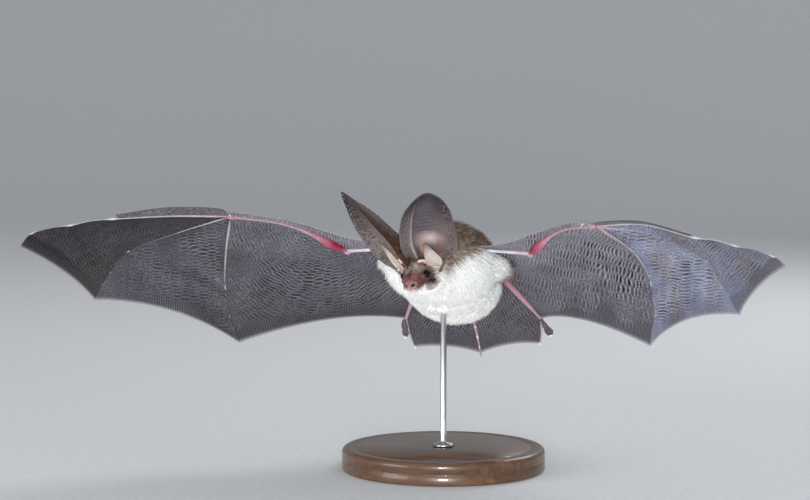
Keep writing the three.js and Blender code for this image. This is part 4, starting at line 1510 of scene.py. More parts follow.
@dataclass
class Coat:
    """Turns roots into solid tufts: thin three-sided locks that curve over and come to a point."""

    stations: tuple[float, ...] = (0.0, 0.3, 0.65)
    clump: float = 2.6
    gather: float = 0.55
    stray: float = 0.16
    patch: float = 0.0013
    root: float = 0.4
    contrast: float = 1.0
    uneven: float = 0.32

    def tufts(self, roots: Roots, seed: int) -> Shell:
        """Grow one tuft at every root.

        Args:
            roots: The roots.
            seed: The random seed.

        Returns:
            All the tufts as one shell.
        """
        rng = np.random.default_rng(seed)
        count = len(roots.points)
        gather = rough_slope(roots.points, self.clump, seed + 1) * self.gather
        stray = rng.normal(size=(count, 3)) * self.stray
        flow = roots.flow + 0.3 * gather + stray
        flow = unit(flow - roots.normals * (flow * roots.normals).sum(1, keepdims=True))
        side = np.cross(flow, roots.normals)
        long_ = (roots.length * rng.uniform(0.8, 1.15, count))[:, None]
        rise = (roots.rise * rng.uniform(1.04 - self.uneven, 1.04, count))[:, None]
        width = (roots.width * rng.uniform(0.75, 1.25, count))[:, None]
        bend = rng.normal(size=(count, 1)) * 0.08 * long_
        rings, uvs, tips = [], [], []
        for number, u in enumerate((*self.stations, 1.0)):
            up = 1 - (1 - u) ** 1.8
            run = np.sqrt(np.maximum(long_**2 - rise**2, 0.1)) * u**1.25
            middle = roots.points - roots.normals * BURIED + flow * run + roots.normals * rise * up
            middle = middle + side * bend * u**2 + gather * u * 0.12 * long_
            across, high = (1.0, 0.95, 0.62, 0.0)[number], (0.6, 0.6, 0.4, 0.0)[number]
            if u < 1:
                lift = roots.normals * width * high * 0.55
                for sign in (-1, 1):
                    rings.append(middle + sign * side * width * across / 2)
                rings.append(middle + lift)
                corner = ((-1, -1), (1, -1), (0, 1))
                uvs += [roots.uv + np.array(c) * self.patch * (1 - 0.6 * u) for c in corner]
                tips += [np.full(count, u)] * 3
            else:
                rings.append(middle)
                uvs.append(roots.uv)
                tips.append(np.full(count, 1.0))
        points = np.stack(rings, 1).reshape(-1, 3)
        uv = np.stack(uvs, 1).reshape(-1, 2)
        faces = [(0, 2, 1)]
        for k in range(len(self.stations) - 1):
            for i in range(3):
                a, b = 3 * k + i, 3 * k + (i + 1) % 3
                faces += [(a, b, b + 3), (a, b + 3, a + 3)]
        last = 3 * (len(self.stations) - 1)
        faces += [(last + i, last + (i + 1) % 3, last + 3) for i in range(3)]
        each = last + 4
        triangles = (np.arange(count)[:, None, None] * each + np.array(faces)[None]).reshape(-1, 3)
        masks = {k: np.repeat(m, each) for k, m in roots.masks.items()}
        masks["tip"] = mix(self.root, 1.0, np.stack(tips, 1).ravel())
        clump = 0.3 * rough(roots.points, 3.2, seed + 3) + rng.normal(size=count) * 0.22
        masks["shade"] = np.repeat(np.clip(0.5 + clump * self.contrast, -0.5, 1.5), each)
        return Shell(points, tris=triangles, masks=masks, uv=uv)

    def pieces(self, name: str, roots: Roots, limit: int = 11800) -> list[bpy.types.Object]:
        """Grow the tufts in pieces that are small enough, from front to back.

        Args:
            name: The pieces' name.
            roots: The roots.
            limit: The most tufts in one piece.

        Returns:
            The pieces.
        """
        order = np.argsort(roots.points @ np.array(BACKWARD))
        parts = np.array_split(order, max(1, math.ceil(len(order) / limit)))
        fur = bpy.data.materials["fur"]
        made = []
        for number, part in enumerate(parts):
            label = f"coat_{name}_{number + 1}" if len(parts) > 1 else f"coat_{name}"
            made.append(make_piece(label, [self.tufts(roots.chosen(part), 60 + number)], [fur]))
        return made


@dataclass
class Pelt:
    """Lays the coat over the body, the head and the ears."""

    body: Body
    head: Head
    ears: list[Ear]
    markings: Markings
    share: float = 1.0

    @staticmethod
    def lying(way: Array, normals: Array) -> Array:
        """Lay directions flat on the skin."""
        return unit(way - normals * (way * normals).sum(1, keepdims=True))

    def trunk(self) -> Roots:
        """Lay the long soft coat of the trunk, from the throat back to the tail."""
        form, depth = self.body.trunk, self.body.trunk_depth
        points, triangles = self.body.bare(form, depth, 6)
        roots, normals = scatter(points, triangles, int(42000 * self.share), 51)
        x = roots[:, 0]
        flank = ease((np.abs(x) - 15) / 14)
        outwards = 0.012 * x + 0.9 * flank * np.sign(x)
        way = np.stack([outwards, np.full_like(x, 0.79), np.full_like(x, -0.62)], 1)
        flat = (1 - 0.25 * flank) * (1 - 0.42 * ease((normals[:, 2] - 0.3) / 0.4))
        return self.roots(roots, normals, way, 10.5, depth * flat, 0.46, form.centre)

    def neck(self) -> Roots:
        """Lay the coat of the neck."""
        form, depth = self.body.neck, self.body.neck_depth
        points, triangles = self.body.bare(form, depth, 5)
        roots, normals = scatter(points, triangles, int(9000 * self.share), 52)
        way = np.tile([0.0, 0.85, -0.5], (len(roots), 1))
        return self.roots(roots, normals, way, 8.0, depth, 0.38, form.centre)

    def roots(
        self, points: Array, normals: Array, way: Array, length: Real, rise: Real,
        width: Real, centre: Triple,
    ) -> Roots:
        """Gather roots.

        Args:
            points: The roots.
            normals: The skin's normals.
            way: Where the coat runs.
            length: The tufts' length.
            rise: How high their tips are over the skin.
            width: Their width.
            centre: The inner point that the unwrap looks out from.

        Returns:
            The roots with their masks and places on the unwrap.
        """
        sizes = (np.broadcast_to(np.asarray(v, float), len(points)).copy() for v in (length, rise, width))
        uv = over_ball(unit(points - np.array(centre)))
        masks = self.markings.masks(points)
        return Roots(points, normals, self.lying(way, normals), *sizes, uv, masks)

    def face(self) -> Roots:
        """Lay the coat of the head: long at the nape, short on the face, none on nose and lids."""
        points, triangles = self.head.surface()

        def dense(p: Array) -> Array:
            """Tell how dense the coat is."""
            bare = ease((-11.6 - p[:, 1]) / 1.5)
            bare = np.maximum(bare, ease((-8.4 - p[:, 1]) / 1.2) * ease((-4.3 - p[:, 2]) / 0.6))
            for side, clear in ((1, 3.35), (-1, 1.6)):
                far = np.linalg.norm(p - self.head.eye_place(side), axis=1)
                bare = np.maximum(bare, ease((clear - far) / 0.35))
            fine = 1 + 2.2 * ease((-2.0 - p[:, 1]) / 7)
            return (1 - bare) * fine + 1e-9

        local, normals = scatter(points, triangles, int(15000 * self.share), 53, dense)
        size = ease((local[:, 1] + 11.0) / 12)
        eyes = np.min([np.linalg.norm(local - self.head.eye_place(s), axis=1) for s in (1, -1)], axis=0)
        size = size * mix(0.4, 1, ease((eyes - 2.3) / 2.5))
        out = local - [-0.5, -8.5, 3.0]
        brow = np.exp(-((np.linalg.norm(out, axis=1) / 4.6) ** 2))
        size = np.maximum(size, 0.45 * brow)
        way = np.stack([local[:, 0] * 0.09, np.full(len(local), 1.0), 0.12 * local[:, 2]], 1)
        way = way + unit(out) * 2.0 * brow[:, None]
        rise = self.head.coat_depth(local) * mix(0.8, 1, size) + 0.8 * brow
        made = self.roots(
            self.head.place(local), normals @ self.head.turn.T, way @ self.head.turn.T,
            mix(0.9, 5.2, size), rise, mix(0.17, 0.36, size), (0, 0, 0),
        )
        made.uv = over_ball(unit(local - np.array(self.head.inside)))
        return made

    def ear(self, ear: Ear) -> Roots:
        """Lay the short coat on the back of an ear."""
        rng = np.random.default_rng(54)
        count = int(4200 * self.share)
        h = rng.random(count) ** 1.7 * 0.93
        v = rng.uniform(-0.97, 0.97, count)
        step = 0.01
        along = ear.point(v, h + step) - ear.point(v, h)
        across = ear.point(v + step, h) - ear.point(v, h)
        normals = unit(np.cross(along, across))
        normals = normals * np.where(normals @ ear.front > 0, -1, 1)[:, None]
        wall = mix(ear.wall_foot, ear.wall_tip, ease((h + 0.1) * 1.6)) / 2
        points = ear.point(v, h) + normals * wall[:, None] * 0.8
        length = mix(3.6, 0.9, ease(h * 1.5))
        made = self.roots(points, normals, along, length, length * 0.22, mix(0.24, 0.12, h), (0, 0, 0))
        made.uv = np.stack([v * 0.48 + 0.5, h * 0.96 + 0.02], 1)
        made.masks["tan"] = np.full(count, 1.0)
        for name, value in (("dark", 0.75), ("crown", 1.0), ("nose", 0.0), ("cream", 0.0)):
            made.masks[name] = np.full(count, value)
        return made

    def build(self) -> list[bpy.types.Object]:
        """Grow the whole coat."""
        coat = Coat(gather=0.3, stray=0.1, uneven=0.16)
        fine = Coat(clump=1.2, gather=0.35, stray=0.12, root=0.0, contrast=1.7)
        made = coat.pieces("trunk", self.trunk()) + coat.pieces("neck", self.neck())
        made += fine.pieces("head", self.face())
        for ear, label in zip(self.ears, ("left", "right")):
            made += fine.pieces(f"ear_{label}", self.ear(ear))
        for piece in made:
            "coat_white" if "trunk" in piece.name else "coat_tan"
        return made


# ---- stand


def lathe(profile: list[Pair], sides: int = 128) -> Shell:
    """Turn a profile about Z.

    Args:
        profile: Its (radius, height) points, from below.
        sides: How many points go round.

    Returns:
        The closed shell.
    """
    radius, height = np.array(profile, float).T
    angle = np.linspace(0, 2 * math.pi, sides, endpoint=False)
    ring = np.stack([np.cos(angle), np.sin(angle)], 1)
    level = np.broadcast_to(height[:, None, None], (len(height), sides, 1))
    points = np.concatenate([radius[:, None, None] * ring[None], level], axis=2).reshape(-1, 3)
    ends = np.array([[0, 0, height[0]], [0, 0, height[-1]]])
    return Shell(np.concatenate([points, ends]), *drum(len(height), sides))


@dataclass
class Stand:
    """The display stand: a turned wooden base and a steel rod into the belly."""

    base_radius: float = 50
    base_height: float = 11
    rod_radius: float = 1.5
    flange: float = 5
    rod_top: float = 86

    def base(self) -> Shell:
        """Turn the wooden base, with a rounded shoulder and a fine bead."""
        r, h = self.base_radius, self.base_height
        profile = [(r - 0.8, 0.0), (r - 0.2, 0.3), (r, 0.9)]
        profile += [(r, h * 0.42), (r - 0.35, h * 0.46), (r - 0.35, h * 0.5), (r, h * 0.54)]
        for step in range(9):
            angle = math.radians(90 * step / 8)
            profile.append((r - 2.4 + 2.4 * math.cos(angle), h - 2.4 + 2.4 * math.sin(angle)))
        profile += [(r - 6, h), (r - 6.3, h - 0.25), (r - 6.9, h - 0.25), (r - 7.2, h), (self.flange + 2, h)]
        return lathe(profile + [(2.2, h), (2.0, h - 0.4)])

    def rod(self) -> Shell:
        """Turn the rod and its low collar."""
        r, h, f = self.rod_radius, self.base_height, self.flange
        profile = [(r * 0.9, h - 0.2), (f, h + 0.05), (f, h + 1.0), (f - 0.5, h + 1.5), (r + 0.9, h + 1.7)]
        profile += [(r + 0.25, h + 2.3), (r, h + 3.2), (r, self.rod_top), (r * 0.6, self.rod_top + 0.6)]
        return lathe(profile, 48)


# ---- finishes

Socket = bpy.types.NodeSocket


class Weaver:
    """Adds and joins the nodes of one shader tree."""

    def __init__(self, tree: bpy.types.NodeTree) -> None:
        """Take the tree."""
        self.tree = tree

    def put(self, socket: Socket, value: Socket | float | Colour) -> None:
        """Link a socket to an input, or set the input to a constant."""
        if isinstance(value, bpy.types.NodeSocket):
            self.tree.links.new(value, socket)
        elif socket.type == "RGBA":
            socket.default_value = (*value, 1.0)
        else:
            socket.default_value = value

    def node(self, kind: str, inputs: dict | None = None, **settings: object) -> bpy.types.Node:
        """Add a node.

        Args:
            kind: Its type, without the ShaderNode in front.
            inputs: What goes into its sockets, by name or number.
            **settings: Its properties.

        Returns:
            The node.
        """
        made = self.tree.nodes.new("ShaderNode" + kind)
        for key, value in settings.items():
            setattr(made, key, value)
        for key, value in (inputs or {}).items():
            self.put(made.inputs[key], value)
        return made

    def attribute(self, name: str, output: str = "Fac") -> Socket:
        """Read a mask of the mesh."""
        return self.node("Attribute", attribute_name=name).outputs[output]

    def math(self, operation: str, a: Socket | float, b: Socket | float = 0.0) -> Socket:
        """Work with two numbers."""
        return self.node("Math", {0: a, 1: b}, operation=operation).outputs[0]

    def times(self, a: Socket | float, b: Socket | float) -> Socket:
        """Multiply two numbers."""
        return self.math("MULTIPLY", a, b)

    def plus(self, a: Socket | float, b: Socket | float) -> Socket:
        """Add two numbers."""
        return self.math("ADD", a, b)

    def mask(self, name: str, strength: float = 1.0) -> Socket:
        """Read a mask of the mesh, weakened to a strength."""
        found = self.attribute(name)
        return found if strength == 1.0 else self.times(found, strength)

    def scaled(self, colour: Socket | Colour, factor: Socket) -> Socket:
        """Make a colour lighter or darker."""
        return self.node("VectorMath", {0: colour, "Scale": factor}, operation="SCALE").outputs[0]

    def place(self) -> Socket:
        """Give the place on the object, in metres."""
        return self.node("TexCoord").outputs["Object"]

    def mottled(self, colour: Socket | Colour, scale: float, amount: float) -> Socket:
        """Mottle a colour."""
        return self.group("Mottle", {"Colour": colour, "Scale": scale, "Amount": amount}).outputs[0]

    def layers(self, base: Socket | Colour, *rows: tuple[str, float, Socket | Colour]) -> Socket:
        """Lay colours over a base, each through a mask of the mesh.

        Args:
            base: The colour underneath.
            *rows: The mask, its strength and its colour, from below.

        Returns:
            The colour on top.
        """
        for name, strength, colour in rows:
            base = self.blend(self.mask(name, strength), base, colour)
        return base

    def steps(
        self, value: Socket, low: float, high: float, to_low: float = 0.0, to_high: float = 1.0
    ) -> Socket:
        """Turn a number from one range to another, eased and clipped."""
        inputs = {"Value": value, "From Min": low, "From Max": high, "To Min": to_low, "To Max": to_high}
        return self.node("MapRange", inputs, interpolation_type="SMOOTHSTEP").outputs["Result"]

    def blend(self, share: Socket | float, a: Socket | Colour, b: Socket | Colour) -> Socket:
        """Mix two colours."""
        return self.node("Mix", {0: share, 6: a, 7: b}, data_type="RGBA", clamp_factor=True).outputs[2]

    def noise(self, scale: float, detail: float = 3.0, place: Socket | None = None) -> Socket:
        """Make cloudy noise; the scale counts hills per metre."""
        inputs = {"Vector": place or self.place(), "Scale": scale, "Detail": detail, "Roughness": 0.55}
        return self.node("TexNoise", inputs).outputs[0]

    def cells(self, place: Socket, scale: float) -> Socket:
        """Measure how far a place is from the middle of its cell."""
        return self.node("TexVoronoi", {"Vector": place, "Scale": scale}, feature="F1").outputs["Distance"]

    def group(self, name: str, inputs: dict | None = None) -> bpy.types.Node:
        """Add a shared effect."""
        return self.node("Group", inputs, node_tree=bpy.data.node_groups[name])


def effect(name: str, inputs: dict[str, str], outputs: dict[str, str]) -> tuple[Weaver, dict, dict]:
    """Start a shared effect.

    Args:
        name: The node group's name.
        inputs: Its inputs and their socket types.
        outputs: Its outputs and their socket types.

    Returns:
        The weaver of its tree, its input sockets and its output sockets.
    """
    tree = bpy.data.node_groups.new(name, "ShaderNodeTree")
    for direction, sockets in (("INPUT", inputs), ("OUTPUT", outputs)):
        for socket, kind in sockets.items():
            tree.interface.new_socket(name=socket, in_out=direction, socket_type="NodeSocket" + kind)
    start, end = tree.nodes.new("NodeGroupInput"), tree.nodes.new("NodeGroupOutput")
    return Weaver(tree), {k: start.outputs[k] for k in inputs}, {k: end.inputs[k] for k in outputs}


def make_effects() -> None:
    """Make the shared effects: mottled colour, creased membrane with painted shade and highlights, and coat
    markings.
    """
    w, given, result = effect(
        "Mottle", {"Colour": "Color", "Scale": "Float", "Amount": "Float"}, {"Colour": "Color"}
    )
    inputs = {"Vector": w.place(), "Scale": given["Scale"], "Detail": 4.0}
    cloud = w.node("TexNoise", inputs).outputs[0]
    light = w.node("MapRange", {"Value": cloud, **CLOUD_SPAN}).outputs["Result"]
    low = w.math("SUBTRACT", 1.0, given["Amount"])
    factor = w.plus(low, w.times(light, w.times(given["Amount"], 2.0)))
    w.put(result["Colour"], w.scaled(given["Colour"], factor))

    # The creases: near-black strokes are painted shade in the folds' troughs, and the light crests between
    # them are painted highlights; the pale net is the skin's own.
    w, given, result = effect(
        "Creases",
        {"Weave": "Vector", "Lines": "Vector"},
        {"CreaseShade": "Float", "Line": "Float", "Pale": "Float", "Height": "Float"},
    )
    parts = w.node("SeparateXYZ", {0: given["Weave"]})
    row = w.math("FLOOR", parts.outputs[1])
    beside = w.plus(parts.outputs[0], w.times(row, 0.5))
    which = w.node("CombineXYZ", {0: w.math("FLOOR", beside), 1: row}).outputs[0]
    luck = w.node("TexWhiteNoise", {"Vector": which}, noise_dimensions="2D").outputs["Value"]
    wide = w.math("SUBTRACT", w.math("FRACT", beside), 0.5)
    along = w.math("SUBTRACT", w.math("FRACT", parts.outputs[1]), 0.5)
    half = w.plus(0.2, w.times(luck, 0.12))
    across = w.math("POWER", w.math("ABSOLUTE", w.math("DIVIDE", wide, half)), 2.0)
    far = w.plus(across, w.math("POWER", w.math("ABSOLUTE", w.math("DIVIDE", along, 0.44)), 2.4))
    depth = w.plus(0.55, w.times(luck, 0.6))
    # Painted shade: each fold's trough is darkened to near black.
    crease_shade = w.times(w.steps(far, 1.25, 0.25), w.times(parts.outputs[2], depth))
    # Painted highlight along the crests between the strokes.
    ridge = w.times(w.steps(w.math("ABSOLUTE", wide), 0.3, 0.48), parts.outputs[2])
    ridge = w.times(ridge, w.steps(w.math("ABSOLUTE", along), 0.5, 0.34))
    lines = w.node("SeparateXYZ", {0: given["Lines"]})
    wave = w.math("SINE", w.times(lines.outputs[0], 2 * math.pi))
    line = w.times(w.steps(wave, -0.3, 1.0), lines.outputs[1])
    web = w.node("TexVoronoi", {"Vector": w.place(), "Scale": WEB_CELLS}, feature="DISTANCE_TO_EDGE")
    vein = w.times(
        w.steps(web.outputs["Distance"], 0.22, 0.0), w.steps(lines.outputs[1], 0.5, 0.0, 0.35, 1.0)
    )
    crest = w.times(w.steps(wave, -0.2, -1.0), lines.outputs[1])
    # The skin's own pale net and pale bands between the fine lines, with the painted highlights on the
    # crests.
    pale = w.plus(w.plus(w.times(vein, 0.7), w.times(ridge, 1.2)), w.times(crest, 0.6))
    dark = w.plus(crease_shade, w.times(line, 0.4))
    height = w.math("SUBTRACT", w.times(pale, 0.5), dark)
    for name, value in (("CreaseShade", crease_shade), ("Line", line), ("Pale", pale), ("Height", height)):
        w.put(result[name], value)

    w, _, result = effect("CoatMarks", {}, {"Colour": "Color"})
    grain = w.steps(w.noise(420.0), 0.3, 0.7)
    body = w.blend(grain, (0.12, 0.084, 0.064), (0.32, 0.24, 0.185))
    crown = w.blend(grain, (0.11, 0.064, 0.052), (0.30, 0.205, 0.165))
    tan = w.layers(body, ("crown", 1.0, crown), ("cream", 1.0, (0.70, 0.63, 0.56)))
    marks = (("tan", 1.0, tan), ("nose", 1.0, (0.21, 0.10, 0.095)), ("dark", 1.0, (0.046, 0.016, 0.012)))
    w.put(result["Colour"], w.layers((0.94, 0.95, 0.94), *marks))


@dataclass(frozen=True)
class Surface:
    """A material: its settings and how its colour, roughness and height are made."""

    name: str
    roughness: float = 0.5
    settings: tuple[tuple[str, float | Colour], ...] = ()
    bump: float = 0.0001
    grain: Pair | None = None

    def colour(self, w: Weaver) -> Socket | Colour:
        """Make the base colour."""
        raise NotImplementedError

    def height(self, w: Weaver) -> Socket | None:
        """Make the bump's height from the grain: the hills in a metre and their detail."""
        return w.noise(*self.grain) if self.grain else None

    def make(self) -> bpy.types.Material:
        """Build the material."""
        material = bpy.data.materials.new(self.name)
        material.use_nodes = True
        w = Weaver(material.node_tree)
        shader = material.node_tree.nodes["Principled BSDF"]
        w.put(shader.inputs["Base Color"], self.colour(w))
        w.put(shader.inputs["Roughness"], self.roughness)
        for name, value in self.settings:
            w.put(shader.inputs[name], value)
        height = self.height(w)
        if height is not None:
            bump = w.node("Bump", {"Height": height, "Strength": 1.0, "Distance": self.bump})
            w.put(shader.inputs["Normal"], bump.outputs[0])
        return material


@dataclass(frozen=True)
class WingSkin(Surface):
    """The thin grey skin of wing and tail."""

    def creases(self, w: Weaver) -> bpy.types.Node:
        """Add the creases."""
        return w.group("Creases", {k.title(): w.attribute(k, "Vector") for k in ("weave", "lines")})

    def colour(self, w: Weaver) -> Socket:
        """Grey-lilac, browner at the bones, paler at the free edge, with painted shade in the creases,
        painted highlights between them, a painted bluish sheen and painted light and shade by panel.
        """
        creases = self.creases(w).outputs
        # Brown near the bones; the bluish colour is a painted sheen.
        brown, blue = (0.050, 0.037, 0.035), (0.070, 0.086, 0.138)
        base = w.layers((0.050, 0.047, 0.058), ("bone", 0.8, brown), ("blue", 0.75, blue))
        base = w.mottled(base, 110.0, 0.25)
        # The pale net and bands, with the painted highlights on the fold crests.
        base = w.blend(w.times(creases["Pale"], 0.6), base, (0.25, 0.245, 0.285))
        base = w.blend(w.times(creases["Line"], 0.75), base, (0.018, 0.016, 0.020))
        # Painted shade in the troughs of the creases.
        base = w.blend(creases["CreaseShade"], base, (0.003, 0.003, 0.003))
        # Each panel's painted light and shade, and a paler free edge.
        return w.layers(w.scaled(base, w.attribute("tone")), ("rim", 0.9, (0.26, 0.24, 0.26)))

    def height(self, w: Weaver) -> Socket:
        """Sink the strokes and the fine lines."""
        return w.plus(self.creases(w).outputs["Height"], w.times(w.noise(1500.0), 0.35))


@dataclass(frozen=True)
class EarSkin(Surface):
    """The thin skin of ear and tragus."""

    def colour(self, w: Weaver) -> Socket:
        """Grey-brown with darker speckles, pink below and a furred tan back, with painted shade in the
        grooves between the ribs, a painted highlight along the band's crest and a violet middle that is
        partly painted highlight.
        """
        ear = w.node("SeparateXYZ", {0: w.attribute("ear", "Vector")})
        low = w.steps(ear.outputs[1], 0.9, 0.3)
        base = w.blend(low, (0.015, 0.011, 0.012), (0.115, 0.090, 0.086))
        # The violet middle: partly its own colour, partly a painted highlight.
        base = w.layers(base, ("middle", 1.0, w.blend(low, (0.054, 0.045, 0.064), (0.080, 0.064, 0.070))))
        # Painted shade: darker in the grooves between the ribs.
        base = w.blend(w.steps(w.attribute("rib"), 0.0, 1.0, 0.0, 0.35), base, (0.028, 0.022, 0.026))
        base = w.layers(
            base,
            ("pink", 0.85, (0.50, 0.39, 0.385)),
            ("gap", 1.0, (0.42, 0.23, 0.155)),
            ("deep", 1.0, (0.24, 0.055, 0.06)),
        )
        dots = w.steps(w.cells(w.place(), 1000.0), 0.5, 0.2)
        base = w.blend(w.times(dots, w.mask("speckle", 0.85)), base, (0.006, 0.005, 0.006))
        flecks = w.steps(w.cells(w.place(), 900.0), 0.42, 0.15)
        base = w.blend(w.times(flecks, w.mask("speckle", 0.9)), base, (0.17, 0.155, 0.165))
        # A painted highlight on the band's crest.
        base = w.layers(base, ("ridge", 0.8, (0.50, 0.47, 0.48)), ("rim", 0.5, (0.13, 0.11, 0.11)))
        furred = w.blend(w.steps(ear.outputs[1], 0.0, 0.6), (0.060, 0.026, 0.007), (0.036, 0.019, 0.011))
        base = w.blend(w.times(w.attribute("back"), ear.outputs[2]), base, furred)
        cream = w.blend(w.steps(w.attribute("tip"), 0.6, 0.95), (0.35, 0.31, 0.275), (0.16, 0.125, 0.12))
        lobe, pit = (0.50, 0.35, 0.31), (0.17, 0.085, 0.08)
        base = w.layers(base, ("tragus", 1.0, cream), ("lobe", 1.0, lobe), ("pit", 1.0, pit))
        return w.mottled(base, 330.0, 0.16)


@dataclass(frozen=True)
class Layered(Surface):
    """A mottled material: colours over one another, each through a mask of the mesh.

    Without a colour underneath, the coat's markings are there.
    """

    under: Colour | None = None
    mottle: Pair = (300.0, 0.05)
    rows: tuple[tuple[str, float, Colour], ...] = ()

    def colour(self, w: Weaver) -> Socket:
        """Lay the colours and mottle them."""
        under = self.under or w.group("CoatMarks").outputs["Colour"]
        return w.mottled(w.layers(under, *self.rows), *self.mottle)


LIMB_SKIN = Layered(
    "limb_skin", 0.42, (("Specular IOR Level", 0.25), ("Coat Weight", 0.04)), 0.00006, (1900.0, 2.0),
    (0.19, 0.17, 0.185), (260.0, 0.16), (
        ("pink", 1.0, (0.33, 0.155, 0.20)),
        ("pale", 1.0, (0.60, 0.58, 0.70)),
        ("grey", 1.0, (0.032, 0.028, 0.033)),
        ("red", 1.0, (0.20, 0.006, 0.035)),
    ),
)
FACE_SKIN = Layered(
    "face_skin", 0.6, (), 0.00006, (2600.0, 3.0), None, (500.0, 0.18), (
        ("rosy", 0.85, (0.22, 0.10, 0.10)),
        ("ring", 0.7, (0.40, 0.24, 0.25)),
        ("fold", 0.75, (0.085, 0.022, 0.017)),
        ("lip", 0.85, (0.36, 0.25, 0.255)),
        ("socket", 0.9, (0.035, 0.014, 0.011)),
        # Painted shade: the nostril openings near black.
        ("nostril", 1.0, (0.020, 0.002, 0.003)),
    ),
)


@dataclass(frozen=True)
class Fur(Surface):
    """The tufts of the coat."""

    def colour(self, w: Weaver) -> Socket:
        """The coat's markings, darker at the roots."""
        base = w.group("CoatMarks").outputs["Colour"]
        root = w.blend(w.attribute("tan"), (0.88, 0.88, 0.87), (0.020, 0.012, 0.010))
        base = w.blend(w.steps(w.attribute("tip"), 0.0, 0.75), root, base)
        depth = w.plus(0.06, w.mask("tan", 0.6))
        shade = w.times(w.math("SUBTRACT", w.attribute("shade"), 0.5), depth)
        return w.scaled(base, w.plus(1.0, shade))


@dataclass(frozen=True)
class Wood(Surface):
    """Dark stained wood."""

    def colour(self, w: Weaver) -> Socket:
        """Streaks along the grain."""
        place = w.place()
        lying = w.node("Mapping", {"Vector": place, "Scale": (40.0, 900.0, 900.0)}).outputs[0]
        streak = w.steps(w.noise(0.5, 5.0, lying), 0.3, 0.7)
        ring = w.node("Mapping", {"Vector": place, "Scale": (6.0, 120.0, 120.0)}).outputs[0]
        broad = w.steps(w.noise(0.6, 2.0, ring), 0.35, 0.65)
        base = w.blend(streak, (0.085, 0.040, 0.019), (0.17, 0.085, 0.042))
        return w.blend(w.times(broad, 0.5), base, (0.06, 0.028, 0.014))


# ---- studio


@dataclass
class Studio:
    """The camera, the light and the pale floor."""

    azimuth: float = 20.6
    elevation: float = 4.0
    distance: float = 1.0
    lens: float = 91.4
    aim: Triple = (0, -8, 110)
    shift: Pair = (-16.1, -1.5)

    def build(self) -> None:
        """Set the studio up."""
        (cos_a, sin_a), (cos_e, sin_e) = turning(self.azimuth), turning(self.elevation)
        back = Vector((sin_a * cos_e, -cos_a * cos_e, sin_e))
        right = Vector((cos_a, sin_a, 0))
        up = back.cross(right)
        target = (Vector(self.aim) + right * self.shift[0] + up * self.shift[1]) * MM
        data = bpy.data.cameras.new("camera")
        data.lens, data.sensor_width, data.clip_start = self.lens, 36, 0.01
        camera = bpy.data.objects.new("camera", data)
        camera.location = target + back * self.distance
        camera.rotation_mode = "QUATERNION"
        camera.rotation_quaternion = (-back).to_track_quat("-Z", "Y")
        scene = bpy.context.scene
        scene.collection.objects.link(camera)
        scene.camera = camera
        for lamp in (
            ("key", (0.42, -1.2, 0.16), 0.22, 13.0),
            ("fill", (-0.75, -1.05, 0.2), 0.7, 8.0),
            ("low", (0, -0.02, 0.02), 0.35, 0.4),
            ("rim", (0.25, 0.95, 0.95), 0.7, 6.0),
        ):
            self.lamp(*lamp)
        world = bpy.data.worlds.new("world")
        world.use_nodes = True
        sky = world.node_tree.nodes["Background"]
        sky.inputs["Color"].default_value = (0.86, 0.88, 0.90, 1)
        sky.inputs["Strength"].default_value = 0.5
        scene.world = world
        self.floor()
        scene.render.resolution_x, scene.render.resolution_y = 810, 500
        scene.view_settings.view_transform = "Standard"

    def lamp(self, name: str, at: Triple, size: float, power: float) -> None:
        """Hang a soft square lamp that looks at the bat."""
        data = bpy.data.lights.new(name, "AREA")
        data.size, data.energy = size, power
        lamp = bpy.data.objects.new(name, data)
        lamp.visible_camera = False
        lamp.location = at
        lamp.rotation_mode = "QUATERNION"
        lamp.rotation_quaternion = (Vector(self.aim) * MM - Vector(at)).to_track_quat("-Z", "Y")
        bpy.context.scene.collection.objects.link(lamp)

    def floor(self) -> None:
        """Lay the pale floor, which rises to a wall far behind."""
        profile = [(-6.0, 0.0), (2.0, 0.0)]
        profile += [(2.0 + 2 * math.sin(t), 2 - 2 * math.cos(t)) for t in np.linspace(0.1, math.pi / 2, 12)]
        profile += [(4.0, 6.0)]
        points = [(x, y, z - 0.0002) for y, z in profile for x in (-8.0, 8.0)]
        faces = [(i, i + 1, i + 3, i + 2) for i in range(0, len(points) - 2, 2)]
        mesh = bpy.data.meshes.new("floor")
        mesh.from_pydata(points, [], faces)
        mesh.polygons.foreach_set("use_smooth", [True] * len(faces))
        mesh.materials.append(Layered("floor", 0.9, under=(0.70, 0.72, 0.74)).make())
        floor = bpy.data.objects.new("floor", mesh)
        bpy.context.scene.collection.objects.link(floor)


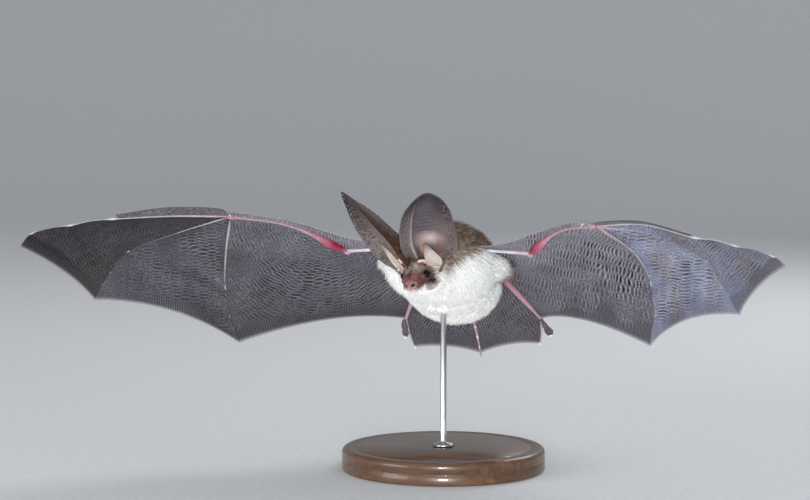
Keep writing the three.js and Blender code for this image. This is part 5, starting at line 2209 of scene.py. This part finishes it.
def main() -> None:
    """Build the whole model in order."""
    logging.basicConfig(level=logging.INFO, format="%(name)s: %(message)s")
    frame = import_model()
    LOG.info("frame: %s", type(frame).__name__)
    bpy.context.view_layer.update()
    make_effects()
    skeleton = Skeleton()
    head = Head(skeleton)
    markings = Markings(skeleton, head)
    body = Body(skeleton)
    sides = [WingBones(skeleton, pose) for pose in (LEFT, RIGHT)]
    ears = [
        Ear(head, 1, (0.17, -0.63, 0.75), (0.31, -0.68, -0.66)),
        Ear(
            head, -1, (-0.636, -0.27, 0.77), (-0.51, -0.59, -0.63),
            length=48.5, cup=12, deep=0.95, fold=0.6, blunt=0.72, taper=1.7,
        ),
    ]
    shells = [head.shell(markings), *body.shells(markings)]
    for ear in ears:
        shells += ear.shells()
    claws = []
    for bones in sides:
        limbs = Limbs(bones)
        shells += limbs.shells() + Membranes(bones).shells()
        claws += limbs.claws()
    skins = [
        WingSkin("wing_skin", 0.5, (("Specular IOR Level", 0.2),), 0.00028).make(),
        LIMB_SKIN.make(),
        FACE_SKIN.make(),
        EarSkin("ear_skin", 0.55, (("Specular IOR Level", 0.18),), 0.00008, (2200.0, 3.0)).make(),
    ]
    skin = make_piece("skin", shells, skins)
    nodes = ["trunk", "neck", "head", "tail"]
    for name in (
        "ear", "tragus", "upper_arm", "forearm", "thumb", "finger_2", "finger_3", "finger_4", "finger_5",
        "leg", "foot", "calcar", "web_2_3", "web_3_4", "web_4_5", "arm_web", "front_web", "tail_web",
    ):
        nodes += [f"{name}_left", f"{name}_right"]
    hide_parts(*nodes)
    claw = make_piece("claws", claws, [Layered("claw", 0.3, under=(0.55, 0.53, 0.50)).make()])
    glass = Layered("eye", 0.05, (("Specular IOR Level", 0.1),), under=(0.006, 0.003, 0.003)).make()
    for side, shell in zip(("left", "right"), head.eyes()):
        eye = make_piece(f"wet_eye_{side}", [shell], [glass])
        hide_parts(f"eye_{side}")
    stand = Stand()
    base = make_piece("base", [stand.base()], [Wood("wood", 0.35, (("Coat Weight", 0.3),)).make()])
    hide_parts("stand_base")
    steel = Layered("steel", 0.3, (("Metallic", 1.0),), under=(0.56, 0.56, 0.56), mottle=(400.0, 0.04))
    rod = make_piece("rod", [stand.rod()], [steel.make()])
    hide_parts("stand_rod")
    Fur("fur", 0.8, (("Specular IOR Level", 0.12),)).make()
    Pelt(body, head, ears, markings, 1.0).build()
    Studio().build()


if __name__ == "__main__":
    main()
